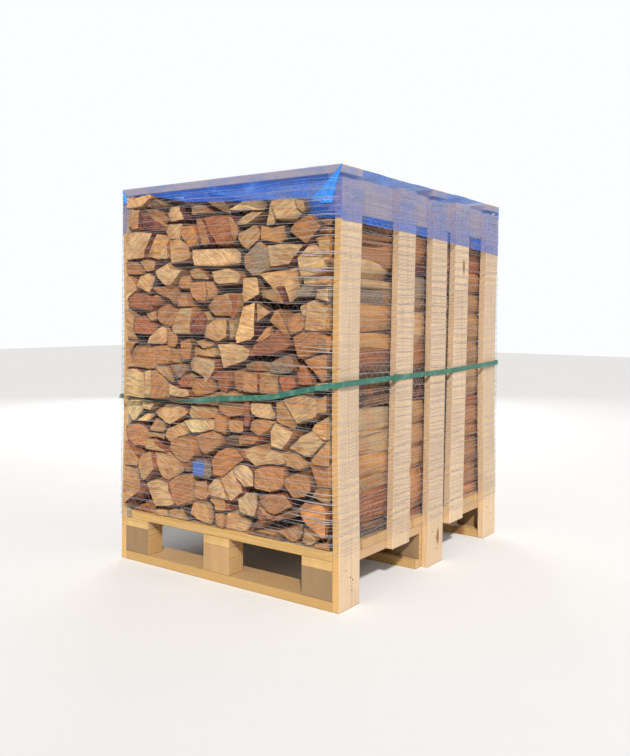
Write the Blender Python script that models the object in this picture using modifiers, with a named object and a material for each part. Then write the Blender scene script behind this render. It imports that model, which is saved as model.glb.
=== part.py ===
"""Firewood on a wooden pallet.

Split logs lie in three rows on a pallet of sawn boards. Five posts stand on each side of it and carry
two rails and three cross-planks. A blue film lies over the top, a wide-meshed net wraps the whole load
and a green strap runs round its middle. The front is the -Y side, where the log ends face, and the
origin is on the ground under the middle of the load.
"""

import random

import bmesh
import bpy
from mathutils import Matrix, Vector

CLEARANCE = 0.0003

# Pallet
PALLET_WIDTH = 0.796
PALLET_DEPTH = 0.995
BOARD_THICK = 0.0257
BOTTOM_BOARD_WIDTH = 0.100
BLOCK_SIZE = Vector((0.100, 0.060, 0.079))
MIDDLE_BLOCK_SHIFT = -0.012
DECK_BOARDS = 7
DECK_GAP = 0.010
DECK_FRONT_STEP = 0.028

# Posts, rails and cross-planks, all sawn to one section
SAWN_WIDTH = 0.098
SAWN_THICK = 0.022
PLANK_TOP = 1.168
POST_TOP_GAP = 0.012
MIDDLE_PLANK_Y = 0.005
EDGE_BEVEL = 0.0012
POST_BOW = 0.007
BOW_CUTS = 5

# Each post: the lower front corner's y, how far the top leans back, whether it reaches the ground
POSTS = (
    (-0.4975, 0.000, True),
    (-0.228, 0.028, False),
    (-0.015, 0.020, True),
    (0.130, 0.037, False),
    (0.3925, 0.007, True),
)

# Firewood
ROWS = 3
ROW_GAP = 0.004
END_RECESS = 0.070
HEART_SIDE = 0.036
HEART_TOP = 1.113
ROOT_DEPTH = 0.004
LOG_LEFT = -0.3905
LOG_RIGHT = 0.3895
RAIL_ROOM = 0.3745
END_PROUD = 0.022
MEAN_PROUD = 0.019
FILM_LOG_RECESS = 0.006
END_SCATTER = (-0.0025, 0.012)
END_SEED = 7
FRONT_LOG_POINTS = 7
MIDDLE_LOG_POINTS = 5
BACK_LOG_POINTS = 4
BACK_LOG_AREA = 15.0
SIDE_LOG_REACH = 0.006

# Where the log ends' outlines were drawn from: they lie on the plane of the posts' front edges
SIGHT_ACROSS = 2.0352
SIGHT_AWAY = 1.7347
SIGHT_HEIGHT = 0.7613
OUTLINE_PLANE_Y = -0.500
OUTLINE_LEFT_X = -0.422

# Measures on the outlines, in centimetres: logs behind the film, logs on the deck, and the height
# over which the outlines are turned half round for the back row
CM_PER_METRE = 100
FILM_LOGS_OVER = 109.5
FLAP_LOGS_OVER = 102
FLAP_LOGS_FROM = 73
DECK_LOGS_UNDER = 16.5
OUTLINE_HEIGHT = 129.2

# Film: where its creases run, the creases that sag between the planks, and its lower edge
FILM_THICK = 0.0005
FILM_SAG = 0.010
CREASES_ACROSS = (-0.395, -0.370, 0.0, 0.310, 0.335, 0.375)
CREASES_ALONG = (-0.385, -0.200, -0.010, 0.118, 0.250, 0.385)
SAGGING_CREASES = (-0.200, 0.250)
SKIRT_SIDE = 1.0225
SKIRT_SIDE_DROP = 0.031
SKIRT_END = 1.108
FLAP_FROM = 0.33
FLAP_LOW = 1.045
FLAP_SLOPE = 0.26
FOLD_FROM = -0.384
FOLD_LOW = 1.030

# Net and strap
NET_THICK = 0.0010
NET_BANDS = 6
NET_BAND_WIDTH = 0.006
NET_LOW = 0.134
NET_HIGH = 1.128
NET_CORNER = 0.393
STRAP_THICK = 0.0008
STRAP_WIDTH = 0.019
SEAL_SIZE = Vector((0.0012, 0.026, 0.021))
SEAL_Y = -0.220
SEAL_HEIGHT = 0.598

# Heights of the strap's middle, face by face: along the front from the left, and so on round the load
STRAP_FRONT = (
    (-NET_CORNER, 0.511), (-0.250, 0.511), (-0.100, 0.520), (0.000, 0.534),
    (0.100, 0.543), (0.200, 0.550), (0.300, 0.572), (NET_CORNER, 0.592),
)
STRAP_RIGHT = ((-1, 0.597), (0.2, 0.600), (1, 0.611))
STRAP_BACK = ((1, 0.612), (0, 0.600), (-1, 0.575))
STRAP_LEFT = ((1, 0.570), (0, 0.545), (-1, 0.513))

# Heights that follow from the sections above
BLOCK_LOW = BOARD_THICK + CLEARANCE
BLOCK_HIGH = BLOCK_LOW + BLOCK_SIZE.z
STRINGER_LOW = BLOCK_HIGH + CLEARANCE
STRINGER_HIGH = STRINGER_LOW + BOARD_THICK
DECK_LOW = STRINGER_HIGH + CLEARANCE
DECK_HIGH = DECK_LOW + BOARD_THICK
LOGS_LOW = DECK_HIGH + CLEARANCE
PLANK_LOW = PLANK_TOP - SAWN_THICK
RAIL_HIGH = PLANK_LOW - CLEARANCE
RAIL_LOW = RAIL_HIGH - SAWN_WIDTH

# Faces that follow from them, as distances from the middle
PALLET_SIDE = PALLET_WIDTH / 2
PALLET_END = PALLET_DEPTH / 2
POST_SIDE = PALLET_SIDE + CLEARANCE + SAWN_THICK
FILM_SIDE = POST_SIDE + CLEARANCE
FILM_END = PALLET_END + CLEARANCE
LOG_END = -OUTLINE_PLANE_Y + END_PROUD
NET_SIDE = FILM_SIDE + FILM_THICK + CLEARANCE
NET_SHOULDER = FILM_END + FILM_THICK + CLEARANCE
NET_END = LOG_END + CLEARANCE
STRAP_OFFSET = NET_THICK + CLEARANCE

# Colour, roughness and metallic value of each material
FINISHES = {
    "pallet_pine": ((0.62, 0.42, 0.22), 0.75, 0.0),
    "sawn_spruce": ((0.74, 0.58, 0.39), 0.70, 0.0),
    "split_firewood": ((0.55, 0.31, 0.15), 0.80, 0.0),
    "blue_film": ((0.08, 0.25, 0.75), 0.30, 0.0),
    "net_yarn": ((0.85, 0.86, 0.90), 0.45, 0.0),
    "green_strap": ((0.05, 0.28, 0.20), 0.40, 0.0),
    "strap_seal_metal": ((0.45, 0.50, 0.48), 0.35, 1.0),
}

# Outlines of the log ends on the front, in centimetres across from the left posts' outer faces and up
# from the ground, course by course from the top
LOG_ENDS = (
    # Right under the cover
    ((2.7, 113.3), (10, 114), (13.5, 114.3), (14, 113.2), (9.5, 111.2), (3.3, 110.8)),
    ((9.8, 111), (13.8, 112.9), (19, 110.7), (14, 110.4)),
    ((15.5, 112.4), (18, 112.9), (25.5, 111.6), (22, 110.4), (19.4, 110.6)),
    ((2.6, 103.7), (8.1, 103.9), (8, 110), (3.6, 110.3)),
    ((8.5, 109.3), (10, 109), (15.3, 105.8), (18.7, 104.2), (18, 103.3), (10.5, 103.5), (8.5, 105.5)),
    ((8.3, 110.3), (14, 110.1), (18, 108.6), (21, 106.2), (19.2, 104.7), (15.6, 106.3), (10, 109.4)),
    ((20.6, 107.6), (21.5, 109.7), (25, 110), (26, 108), (27.5, 105.8), (22, 105.4), (21.2, 106.3)),
    ((26.2, 110), (30, 109.7), (30, 106.9), (27.3, 106.6)),
    ((30.3, 109.4), (33, 110), (35, 109.5), (38, 107.2), (34, 107.2), (31, 106.8)),
    ((36, 110.8), (41, 111.2), (44, 108.7), (44.5, 106.3), (40, 108.2)),
    ((27, 112.6), (35, 113.2), (35.5, 111.2), (28, 111)),
    ((45, 107.4), (50, 109.8), (55.5, 110), (58.3, 108.6), (57.5, 106.7), (51, 107.1)),
    ((47.5, 103.8), (51, 105.8), (53, 106.4), (57.5, 106.1), (55.5, 105.2), (51, 103.1), (48.5, 102.9)),
    ((59, 108.7), (60.1, 108.5), (61.3, 104), (60.8, 102.5), (58.3, 102.3)),
    ((60.5, 108.9), (64, 109.1), (68.5, 108.8), (69.4, 106), (71.6, 104.7), (70, 103.4), (62.3, 104)),
    ((68.8, 109), (71.5, 108.3), (72.7, 105.5), (71.8, 105), (69.8, 106)),
    ((37, 113.8), (46, 113.4), (50, 111), (42, 111.5)),
    ((51, 113), (58, 114), (64, 112.5), (66, 110), (59.5, 109.6), (55, 111)),
    ((65.5, 113), (74, 112.6), (76.5, 110.2), (72, 109.6), (67, 110)),
    # Courses between 94 and 105
    ((0.3, 103.1), (5, 103.3), (13.1, 102.5), (12.4, 101), (9.2, 96.4), (9.4, 95.1), (2, 94.6),
     (0.4, 95)),
    ((13.8, 102.4), (19.4, 101.2), (19.5, 99.8), (15.9, 94.2), (9.9, 95.4), (9.7, 96)),
    ((19.9, 99), (20.5, 94.4), (16.6, 94.2)),
    ((18.4, 102.9), (20, 104.9), (25.2, 104.8), (25, 101.9), (24, 100.3), (20, 100.4)),
    ((20.7, 100), (25.2, 100), (29.1, 98), (29.2, 94.3), (26, 93.4), (21, 93.1)),
    ((25.5, 103.7), (31, 103.9), (32.4, 101), (33.5, 98.7), (33.4, 98), (30, 97.4), (27.4, 99.6),
     (25.6, 101.8)),
    ((31.3, 106), (34, 105.6), (36, 102), (38, 98.4), (34.2, 98.1), (32.9, 101.2)),
    ((35.2, 105.9), (43.3, 106), (44.8, 101.2), (45.8, 97.9), (39, 98.1), (36.7, 101.7)),
    ((43.8, 105.9), (45.5, 105.4), (47.7, 102.5), (47.9, 100.5), (46.5, 98.3), (45.2, 101)),
    ((29.7, 96.8), (35, 96.8), (47, 96.4), (49.7, 95.2), (49.8, 92.2), (44, 91.7), (31, 92),
     (29.8, 94.5)),
    ((48.3, 100.6), (51.5, 102), (54, 102.7), (55.8, 101.5), (55.6, 98.7), (51.7, 96), (50, 96.8),
     (48.2, 99)),
    ((56.3, 102.4), (60, 101.6), (64.9, 102), (65.2, 100), (66.2, 98.4), (63.5, 97.2), (58, 98.1),
     (56, 98.6)),
    ((73.2, 104.4), (76.5, 102), (77.4, 100.8), (75.5, 99.4), (72.5, 96.8), (70, 98), (66.3, 100.5),
     (68.5, 103)),
    ((51.6, 95.3), (55.5, 97.9), (59.2, 94.8), (59.4, 91), (55, 88.7), (53, 88.6), (50.6, 90.9),
     (50.5, 94)),
    ((59.8, 96.7), (65, 97), (70.8, 96.6), (71.3, 96), (68, 93), (66.5, 91.3), (60.3, 91), (60, 94)),
    ((73.4, 96.1), (76.5, 95.4), (78.7, 93), (78, 90.2), (76, 88.3), (71.2, 88), (69.7, 91.5),
     (69.9, 92.8)),
    ((77.9, 100.7), (81, 100.4), (81, 99.5), (76.6, 99.3)),
    ((75.2, 98), (79, 98.8), (78.9, 93.7), (76.5, 96.1)),
    ((79.4, 98), (81.3, 97.8), (81.3, 91.3), (79.5, 92)),
    ((75, 102.9), (80.8, 103), (81, 101.3), (78, 101.1)),
    # Courses between 84 and 94
    ((0.5, 93.7), (5.5, 93.9), (8.8, 90.8), (8.4, 90.1), (0.5, 90.1)),
    ((6.3, 94), (9.7, 94.5), (14.8, 93.7), (13.8, 91.2), (10, 90.8), (9, 91.2)),
    ((14.5, 90.6), (16, 91.6), (20, 93), (21.2, 91.1), (26, 90.8), (23.5, 88), (21.5, 86.2),
     (19, 86.4), (16, 88.5)),
    ((5.7, 87.6), (7, 89.3), (10.5, 90.3), (13.4, 89), (12.8, 86), (11.6, 84.2), (9.5, 84.7),
     (5.6, 86.4)),
    ((0.4, 89.6), (2.5, 89.2), (5.3, 86.3), (5, 84.8), (2, 83.2), (0.6, 81.2)),
    ((25.8, 88.6), (28.3, 88.9), (28.6, 85.5), (26.4, 85.2), (24.8, 86.3)),
    ((29, 90.4), (31, 91.2), (33, 90.8), (37, 88.1), (36.2, 87.7), (30.5, 88.2)),
    ((38.2, 90), (44, 90.8), (48, 89.6), (49.2, 88.3), (47.9, 86.6), (40.6, 86.3), (39, 87.4)),
    ((60, 90.1), (67.5, 90.5), (70, 88.8), (70.1, 86.5), (68, 82.5), (65.5, 80.8), (63.7, 85.6),
     (60, 85), (55.8, 89)),
    ((49.4, 88), (55, 88), (56, 83.6), (53, 82.1), (49.6, 81), (48.9, 83.7)),
    ((56.6, 84.3), (58.6, 84.4), (62.3, 85.2), (63.9, 83), (64.6, 80.6), (61, 81.3), (57, 82.4)),
    ((71, 87.5), (76, 87.8), (80.8, 87.1), (80.9, 85.4), (74, 85.2), (71, 86)),
    ((71, 85.4), (75.5, 84.7), (74, 82.7), (69.3, 82.5), (69.7, 83.6)),
    ((76, 84.6), (80.9, 85), (80.9, 80.9), (75.7, 82)),
    # Courses between 70 and 84
    ((0.7, 80.5), (2.2, 82.8), (4.5, 83.7), (10, 83.4), (11, 82), (13.3, 80), (13, 79), (10.5, 78.8),
     (1.2, 79.8)),
    ((12.2, 82.6), (14.5, 83.2), (15.4, 81.5), (14, 80.2)),
    ((13, 85.6), (19, 86), (24, 85), (24.2, 83), (23, 80.9), (21, 80.7), (19, 82.6), (15.5, 83.6)),
    ((24.7, 82.5), (26.2, 84), (28.3, 83.5), (29.4, 80.2), (25.2, 79.7)),
    ((25, 79.3), (29.9, 79.4), (29.2, 75), (29, 71.8), (22.6, 71.8), (21.6, 73.2), (23.2, 76.5)),
    ((15.3, 78.6), (18, 80.2), (22.5, 78.7), (24, 77.6), (22.5, 75), (20, 74), (16.7, 74.3),
     (15.3, 75.6)),
    ((10, 77.7), (14.6, 78.4), (14.9, 76), (12, 75.4), (10.4, 76.8)),
    ((5.2, 76.1), (9, 77), (12, 75.1), (15.2, 74), (13.5, 71.8), (10.5, 71.1), (4.2, 71.5),
     (3.9, 72.6)),
    ((0.5, 78.6), (2, 78.8), (4.6, 76.5), (3.6, 73), (3.7, 71.4), (5.3, 69.2), (0.6, 69.5)),
    ((0.6, 69), (5.5, 68.6), (2.7, 66.2), (3.2, 64), (4.7, 61.7), (4.5, 60.8), (0.6, 60.6)),
    ((11, 68.6), (12, 70.5), (14.5, 72.6), (17, 73.7), (19, 73), (19.7, 71), (19.4, 69.1), (17, 68.3)),
    ((19.9, 72.9), (23, 71.4), (23.9, 69), (22.9, 67.4), (20, 67.9)),
    ((30, 76.6), (33, 78), (35.4, 78.2), (36.8, 76), (35.8, 73.5), (34, 72), (30.5, 72.2),
     (29.5, 73.6)),
    ((28.9, 84.7), (30.2, 87.1), (34.5, 87.3), (35.3, 84), (34.9, 81.5), (31.5, 81.5), (29.8, 82.8)),
    ((35.1, 87.2), (37.7, 86.9), (39.8, 83.8), (38.4, 82.2), (35.4, 81.6), (35.9, 84)),
    ((36.2, 80), (39.2, 82.5), (43.3, 83.5), (45.8, 80.5), (44.8, 77.2), (39, 77.2), (37, 78.6)),
    ((43.9, 83.6), (48.4, 83.2), (48, 80), (46.4, 76.5), (45.3, 76.7), (46.3, 80.5)),
    ((36.8, 74.1), (40, 76.3), (44.1, 76.3), (44.3, 71), (41, 69.8), (36, 70.8)),
    ((44.7, 76), (46.3, 75.8), (46.6, 71.2), (45, 70.6)),
    ((49.8, 79.8), (54.3, 81), (54.2, 76), (54.2, 71.8), (53, 70.5), (47.5, 69.4), (47, 71),
     (48.5, 75.4)),
    ((54.7, 80.8), (59.6, 78.3), (54.7, 75.5)),
    ((54.7, 70.1), (58.3, 74), (59.8, 74.3), (59.8, 71.7), (56, 69.8)),
    ((59.9, 76), (62, 78.7), (63.5, 78.5), (65, 75.2), (66.6, 73.2), (67.6, 71.4), (66, 70.9),
     (63, 73.6)),
    ((65.5, 75.8), (69, 78), (71.8, 76.7), (71.8, 74), (69, 72.7), (67.6, 72), (66.4, 73.8)),
    ((70.3, 80), (72.2, 80.3), (72.4, 77.4), (71, 77.2)),
    ((73, 80.7), (75, 81.5), (79, 79.5), (79.3, 77.5), (78.8, 73.9), (76, 73.3), (72.7, 73.7),
     (72.7, 78)),
    ((79.5, 79.9), (80.8, 80.2), (80.8, 73.3), (79.3, 74)),
    ((68.1, 71.6), (71, 72.8), (76, 72.9), (77.6, 70.5), (76.8, 67.8), (72, 66.3), (69.7, 66.2),
     (68.6, 69.5)),
    ((77, 72.2), (80.6, 71.3), (80.6, 67.7), (77.3, 67.9), (78.2, 70.3)),
    ((55.2, 69.3), (60, 71), (60.4, 73), (62.8, 73.2), (66.6, 70.4), (68, 69.6), (66, 68.1),
     (60.5, 66.7), (52.8, 66)),
    # Courses between 60 and 70
    ((4.5, 66.3), (5.8, 67.6), (10.5, 67.2), (10.7, 60.5), (5.2, 60.8), (4.3, 62.8), (3.2, 64.6)),
    ((11, 67.2), (14.6, 67.3), (14.7, 61), (11, 60.5)),
    ((15.1, 67.5), (20.4, 67.6), (21.3, 66), (21.4, 63.7), (20.5, 62.5), (16, 62.2), (15.1, 64.5)),
    ((21.4, 67.2), (24.2, 66), (24, 63), (22.5, 62.9), (21.9, 65)),
    ((24.6, 69.4), (28.8, 70.2), (29.7, 68), (28.8, 64.2), (26, 63.2), (24.5, 64.7)),
    ((15, 61.7), (21, 61.5), (22, 60.2), (23.7, 58), (23.3, 56.8), (20, 58.2), (16, 60.2)),
    ((21.7, 62.1), (28.4, 62.2), (29.6, 61.1), (27, 60.2), (24.4, 58.1), (22.6, 60)),
    ((29.3, 63), (31, 65), (37, 64.7), (39.5, 64), (39.3, 61.6), (37, 58.8), (36, 57.3), (35, 59.2),
     (30, 60.8)),
    ((29.9, 67.7), (34, 67), (38.8, 67.8), (39.8, 65.8), (38.9, 65.1), (31, 65.5), (30, 65)),
    ((31, 69.5), (34, 70), (39.4, 69.2), (37, 67.8), (34, 67.5)),
    ((40, 68.8), (45, 69.3), (50, 68.7), (52.7, 67.5), (51.5, 65.2), (49, 63.9), (42, 62), (40.9, 64)),
    ((72.1, 65.3), (76, 66.8), (80.5, 67.2), (80.6, 60.6), (78, 59.8), (75.2, 62.7)),
    ((69.2, 61.2), (70, 64), (71.4, 64.2), (74.3, 60.5), (74.7, 59), (70.2, 58.6)),
    ((60.7, 64.4), (65, 66.4), (67.8, 66.2), (68.8, 64), (67.9, 62.2), (65, 61.4), (60.6, 61.6)),
    ((50.4, 63.5), (55, 64.4), (60, 63.8), (60, 61.8), (51, 61.7)),
    ((45.6, 61.2), (50, 61.8), (50.2, 56.2), (48, 55.5), (46, 57)),
    ((50.8, 61.2), (55.9, 61.2), (55.9, 55.6), (50.8, 55.8)),
    ((56.5, 61.2), (60, 61.4), (63.4, 61), (63.8, 57), (63.4, 55.6), (56.6, 55.6)),
    ((64, 60.9), (68.8, 60.7), (69.6, 58.1), (65, 56.2), (64.3, 57.2)),
    ((40.9, 60.9), (45, 60.8), (45.4, 57.2), (44.7, 55), (41.2, 56)),
    ((75.5, 59.2), (80.5, 60.1), (80.5, 57.6), (75.3, 57.3)),
    # Courses between 44 and 60
    ((0.7, 60), (5, 60.2), (9.2, 59.2), (9.6, 55), (9.7, 51.2), (1, 51.5)),
    ((10, 59.7), (12.8, 60), (13, 51.5), (10.3, 51.5)),
    ((13.3, 60), (14.4, 60.1), (19, 58.3), (20, 55.4), (19.8, 52), (15, 51.4), (13.4, 51.6)),
    ((20.6, 56.5), (25, 55.2), (28.9, 54.9), (29.4, 53.2), (26, 52.7), (20.8, 53)),
    ((24, 57.2), (29, 59.8), (31, 59.2), (29.8, 56), (25.5, 55.7)),
    ((31.2, 58.3), (34.6, 58.4), (36, 56.8), (37.2, 58.2), (40, 57.6), (40.7, 55.8), (36, 54),
     (31, 53.2), (29.8, 55.6)),
    ((37.7, 59), (40.3, 61.2), (40.6, 58.2)),
    ((20.4, 52.5), (26, 52.2), (29.5, 52.9), (29.5, 50.9), (24, 50.5), (20.4, 51.1)),
    ((30.1, 52.6), (36, 53.5), (40.9, 55), (41, 51.2), (35, 51.3), (30, 50.9)),
    ((41.3, 55.4), (49.7, 55), (49.6, 52.8), (41.4, 52.4)),
    ((0.7, 49.8), (7.5, 50.6), (9.3, 49), (9.2, 47.3), (7.5, 46.2), (4.5, 44), (3.5, 43.8), (1, 46.6)),
    ((8.8, 50.7), (12, 49.9), (15.3, 50.3), (13.2, 47.8), (10, 48.1)),
    ((6.3, 43.9), (9.7, 46.2), (13.3, 46.9), (13.7, 45.8), (10.5, 44.2)),
    ((14, 47.4), (19, 50), (26, 49.9), (28.8, 48.3), (25, 46), (20.5, 43.9), (18, 44.8), (15.5, 46)),
    ((11.4, 41.5), (14.1, 45.2), (17.3, 44.8), (19, 43.5), (18.8, 41.7), (14, 41.2)),
    ((29.8, 50.4), (39.4, 50.4), (39.8, 47.2), (30, 46.6), (28.8, 47.9)),
    ((27.5, 45.7), (30, 46.2), (39.6, 46.6), (39, 44.1), (33, 42.6), (30.2, 42.5)),
    ((20.2, 42.6), (23, 43.7), (27, 45.3), (29.7, 43.5), (29, 41.8), (25, 40.6), (21.2, 38.9),
     (19.6, 40.5)),
    ((40.2, 49), (44.4, 47.6), (45.1, 44.5), (44.5, 43), (43, 43.3), (39.5, 44), (40.1, 46.5)),
    ((41, 51.9), (49.6, 52.4), (50.6, 49.3), (44.8, 48.1), (41, 49.6)),
    ((45.6, 47.3), (51, 47.4), (51.2, 44.7), (50, 44.1), (46, 44.2), (45.3, 45.4)),
    ((51.1, 52.5), (53.2, 53), (53.3, 50), (53.8, 48.2), (52.9, 45.9), (51.5, 46.4)),
    ((53.7, 52.7), (60.5, 53), (62.6, 50), (62, 48.7), (57, 48.9), (54, 50)),
    ((54.2, 47.8), (58, 48.4), (62, 47.9), (60, 45.7), (56.5, 43.8), (53.3, 45.2)),
    ((62.8, 53.5), (64.8, 53.7), (68.8, 49.5), (69.7, 47.8), (68.7, 46.5), (62.7, 48.4)),
    ((65.3, 54.4), (71, 56.2), (76, 55.3), (77.2, 52.5), (76, 50.5), (73, 49.7), (70.4, 48.3),
     (68.5, 50.3)),
    ((76.7, 55), (80.4, 57), (80.4, 52.2), (77.6, 51.5)),
    ((76, 48.6), (80.4, 50.8), (80.7, 46.2), (79, 44.6), (75.9, 45.9), (74.9, 47.2)),
    ((62.2, 47.7), (68.5, 45.9), (67.8, 44), (65, 41), (61.3, 41.4), (60.9, 45.2)),
    ((70.7, 44.7), (75, 46.7), (78.7, 43.9), (76, 41.3), (73.6, 39.6), (71, 40), (66.6, 41.2)),
    ((79.4, 43.7), (80.7, 45.3), (80.7, 37.9), (75.7, 37.9), (75.1, 39.2)),
    # Courses between 30 and 44
    ((0.7, 41.6), (2, 42.6), (6.5, 43), (10, 41.6), (10.5, 38.2), (10.4, 35.8), (6.5, 35.5),
     (4, 35.8), (1, 38.2)),
    ((10.8, 40.7), (19.2, 41), (18.8, 39.3), (14.5, 39.6), (11, 39.2)),
    ((11, 38.7), (14, 38.8), (16, 37.1), (20.3, 35.7), (11.3, 35.6)),
    ((21.2, 36.5), (22.2, 39.3), (27, 40.9), (30.3, 40.7), (31.8, 38), (31.3, 35.7), (28.5, 33.4),
     (25, 33.3), (22.2, 34.7)),
    ((31, 41), (33, 42.2), (38.8, 43.5), (41.5, 43), (42.2, 39.9), (38.5, 37.7), (35, 36.2),
     (33.4, 36.8), (32.2, 39)),
    ((0.6, 37.2), (3, 35.9), (5, 34.1), (7.7, 32), (7.3, 29.9), (0.6, 29.7)),
    ((8.1, 32), (9.6, 33.9), (13.4, 34.9), (14.2, 31.5), (14.8, 29.8), (13.3, 28), (10.6, 25.9),
     (9.2, 26.2), (7.8, 29.6)),
    ((14.3, 35), (20, 35.4), (23, 34.3), (26.3, 32), (25.6, 29.9), (22, 27.8), (19.5, 26.7),
     (17, 27.2), (15.4, 29.6)),
    ((26, 33.1), (29.8, 32.6), (29.7, 30.6), (27.1, 30.3)),
    ((30.7, 33.6), (32.2, 34.8), (37.9, 34.5), (38.2, 30.5), (37.3, 29.6), (31.1, 29.8)),
    ((38.7, 35.1), (41, 37.8), (44, 39.1), (47.4, 38.8), (50.2, 36.5), (47.2, 34.2), (44, 32),
     (42.5, 30.5), (39.4, 31)),
    ((50.2, 43.4), (56, 43.6), (56.8, 42.6), (54, 41.1), (50.2, 40.9)),
    ((43.6, 41.9), (46, 42.6), (49.8, 42.9), (49.8, 40.6), (44, 39.8)),
    ((51.3, 39.3), (55, 40.5), (60.5, 40.2), (64.8, 39.6), (65.8, 36.8), (60, 36.3), (55.5, 35.2),
     (52.7, 37)),
    ((65.3, 39.9), (69.5, 39.4), (72.2, 37.3), (70.8, 35.9), (66.4, 36.6)),
    ((47.8, 38.9), (50.7, 39.2), (54.3, 35.7), (50.9, 36.7)),
    ((55.4, 34.3), (60, 35.5), (65, 35.7), (65.3, 33), (64.8, 31), (63.4, 29.7), (60.5, 28.6),
     (55.4, 29)),
    ((65.9, 33.1), (70, 34.8), (73.8, 34.6), (75, 31), (72.9, 29), (69, 28.3), (66.9, 29.7),
     (65.4, 31.2)),
    ((73.8, 38.3), (75.5, 37.5), (80.6, 37.4), (80.8, 32.2), (76.3, 31.8), (75, 34.4)),
    ((75.7, 31.2), (80.9, 31.5), (81, 28), (78.5, 27.9), (74.6, 29)),
    ((47.8, 34.2), (50, 35.1), (53, 34.9), (54.8, 33), (54.8, 29.5), (51.5, 28.9), (48.9, 30.2),
     (47.5, 32)),
    ((42.2, 30.2), (44, 31.2), (46.8, 33.4), (48.3, 30), (49.8, 28.8), (50.2, 27.2), (45.7, 23.9),
     (44.1, 26.9)),
    # Courses on the deck
    ((0.6, 29.3), (7.4, 29.4), (8.4, 26), (9, 22.6), (2.2, 17.8), (0.5, 17.5)),
    ((11, 25), (15.5, 26.6), (19.9, 26.1), (20.4, 23.5), (23.2, 20.2), (21, 19.2), (15, 18.3),
     (13.7, 20)),
    ((9.7, 24.6), (10.9, 24), (13.3, 19), (14.9, 16.6), (13.5, 16), (11.2, 20)),
    ((1.5, 16.8), (4.5, 19), (9, 20.6), (10.8, 20), (11, 18.4), (8.5, 17.8), (3, 16.2)),
    ((4.8, 15.9), (8, 17.2), (12.5, 17.6), (13.3, 15.9)),
    ((15.2, 17.4), (20.6, 17.9), (20.4, 15.9), (15.4, 15.9)),
    ((21, 18), (27, 19.3), (29.3, 17.2), (29.5, 15.9), (21, 15.9)),
    ((20.6, 26), (23, 28.2), (28.8, 29.6), (30.3, 27.5), (30.8, 22.2), (25.5, 20), (23.7, 20.6),
     (21.2, 23.7)),
    ((31, 27.7), (35.5, 28.4), (37.2, 25), (36.4, 23.5), (34, 22.7), (31.3, 23.2)),
    ((31.2, 22.1), (36, 22.9), (38.4, 22), (39.2, 18), (38.2, 16), (33.5, 16.8), (30.2, 18.2),
     (30, 20.6)),
    ((37, 22.9), (37.5, 24.4), (43, 24), (43.6, 20.8), (39.5, 20.3), (38.9, 22)),
    ((39.8, 29.7), (42, 29.8), (43.6, 26.8), (45, 24.2), (44, 24.3), (37.7, 24.8), (37.7, 27.6)),
    ((39.7, 19.5), (43.6, 20.4), (43.6, 15.9), (41, 15.9), (39.9, 17.5)),
    ((44.2, 20.4), (47, 20.6), (53.2, 19.5), (52.6, 17.5), (51, 15.9), (44.2, 15.9)),
    ((48, 24.6), (51, 26.9), (55, 27.4), (55.3, 24.5), (54.5, 20.9), (48.9, 21.2)),
    ((55.9, 26.7), (60, 27.8), (65, 28.4), (67.8, 25.6), (65, 24.2), (61, 22), (58.2, 22.6),
     (56.2, 24.5)),
    ((55.8, 23.8), (57.8, 22.1), (60, 21), (56, 19.9), (55.2, 20.6)),
    ((60.8, 21.5), (67.5, 23.9), (69.4, 24.2), (70, 23.1), (65, 21.7), (60.5, 20.3)),
    ((53.4, 17.7), (55.3, 19.4), (57.8, 19.7), (55, 17.6)),
    ((53.2, 16.9), (60, 17.2), (65, 16.7), (66, 15.9), (52.7, 15.9)),
    ((62, 18), (69, 20.1), (71.9, 21.5), (72.2, 20.5), (71.6, 18), (69, 16.2), (66.5, 16.6)),
    ((72.7, 20.8), (75, 21), (77.7, 18.3), (75.8, 16.9), (73.6, 15.9), (71.9, 16.6), (72.5, 19)),
    ((70.9, 25.5), (73, 27.6), (79, 27.4), (80.8, 25), (81.2, 19.2), (78.5, 18.9), (75.2, 21.4),
     (72.6, 22.5)),
    ((76.2, 16.7), (81, 18.3), (81.2, 15.9), (76, 15.9)),
)


def clear_scene():
    """Take every object out of the scene."""
    for item in list(bpy.data.objects):
        bpy.data.objects.remove(item, do_unlink=True)


def make_collection(name):
    """Return a new collection under the scene's own."""
    collection = bpy.data.collections.new(name)
    bpy.context.scene.collection.children.link(collection)
    return collection


def make_material(name):
    """Return a Principled material with the finish of that name."""
    colour, roughness, metallic = FINISHES[name]
    material = bpy.data.materials.new(name)
    material.use_nodes = True
    shader = material.node_tree.nodes["Principled BSDF"]
    shader.inputs["Base Color"].default_value = (*colour, 1.0)
    shader.inputs["Roughness"].default_value = roughness
    shader.inputs["Metallic"].default_value = metallic
    return material


def add_object(name, bm, place, collection, material, parent=None):
    """Turn a bmesh into an object that stands at the given place."""
    bmesh.ops.recalc_face_normals(bm, faces=bm.faces)
    mesh = bpy.data.meshes.new(name)
    bm.to_mesh(mesh)
    bm.free()
    mesh.materials.append(material)
    item = bpy.data.objects.new(name, mesh)
    item.location = place
    item.parent = parent
    collection.objects.link(item)
    return item


def box_mesh(size):
    """Return a bmesh box of the given size about its own middle."""
    bm = bmesh.new()
    bmesh.ops.create_cube(bm, size=1.0, matrix=Matrix.Diagonal((*size, 1.0)))
    return bm


def add_bevel(item, width):
    """Round an object's edges with one flat chamfer."""
    bevel = item.modifiers.new("worn_edges", "BEVEL")
    bevel.width = width
    bevel.segments = 1
    bevel.limit_method = "ANGLE"


def add_wall(item, thickness, even=True):
    """Give an open surface its thickness on the side that its faces point to."""
    wall = item.modifiers.new("wall", "SOLIDIFY")
    wall.thickness = thickness
    wall.offset = 1.0
    wall.use_even_offset = even


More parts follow.
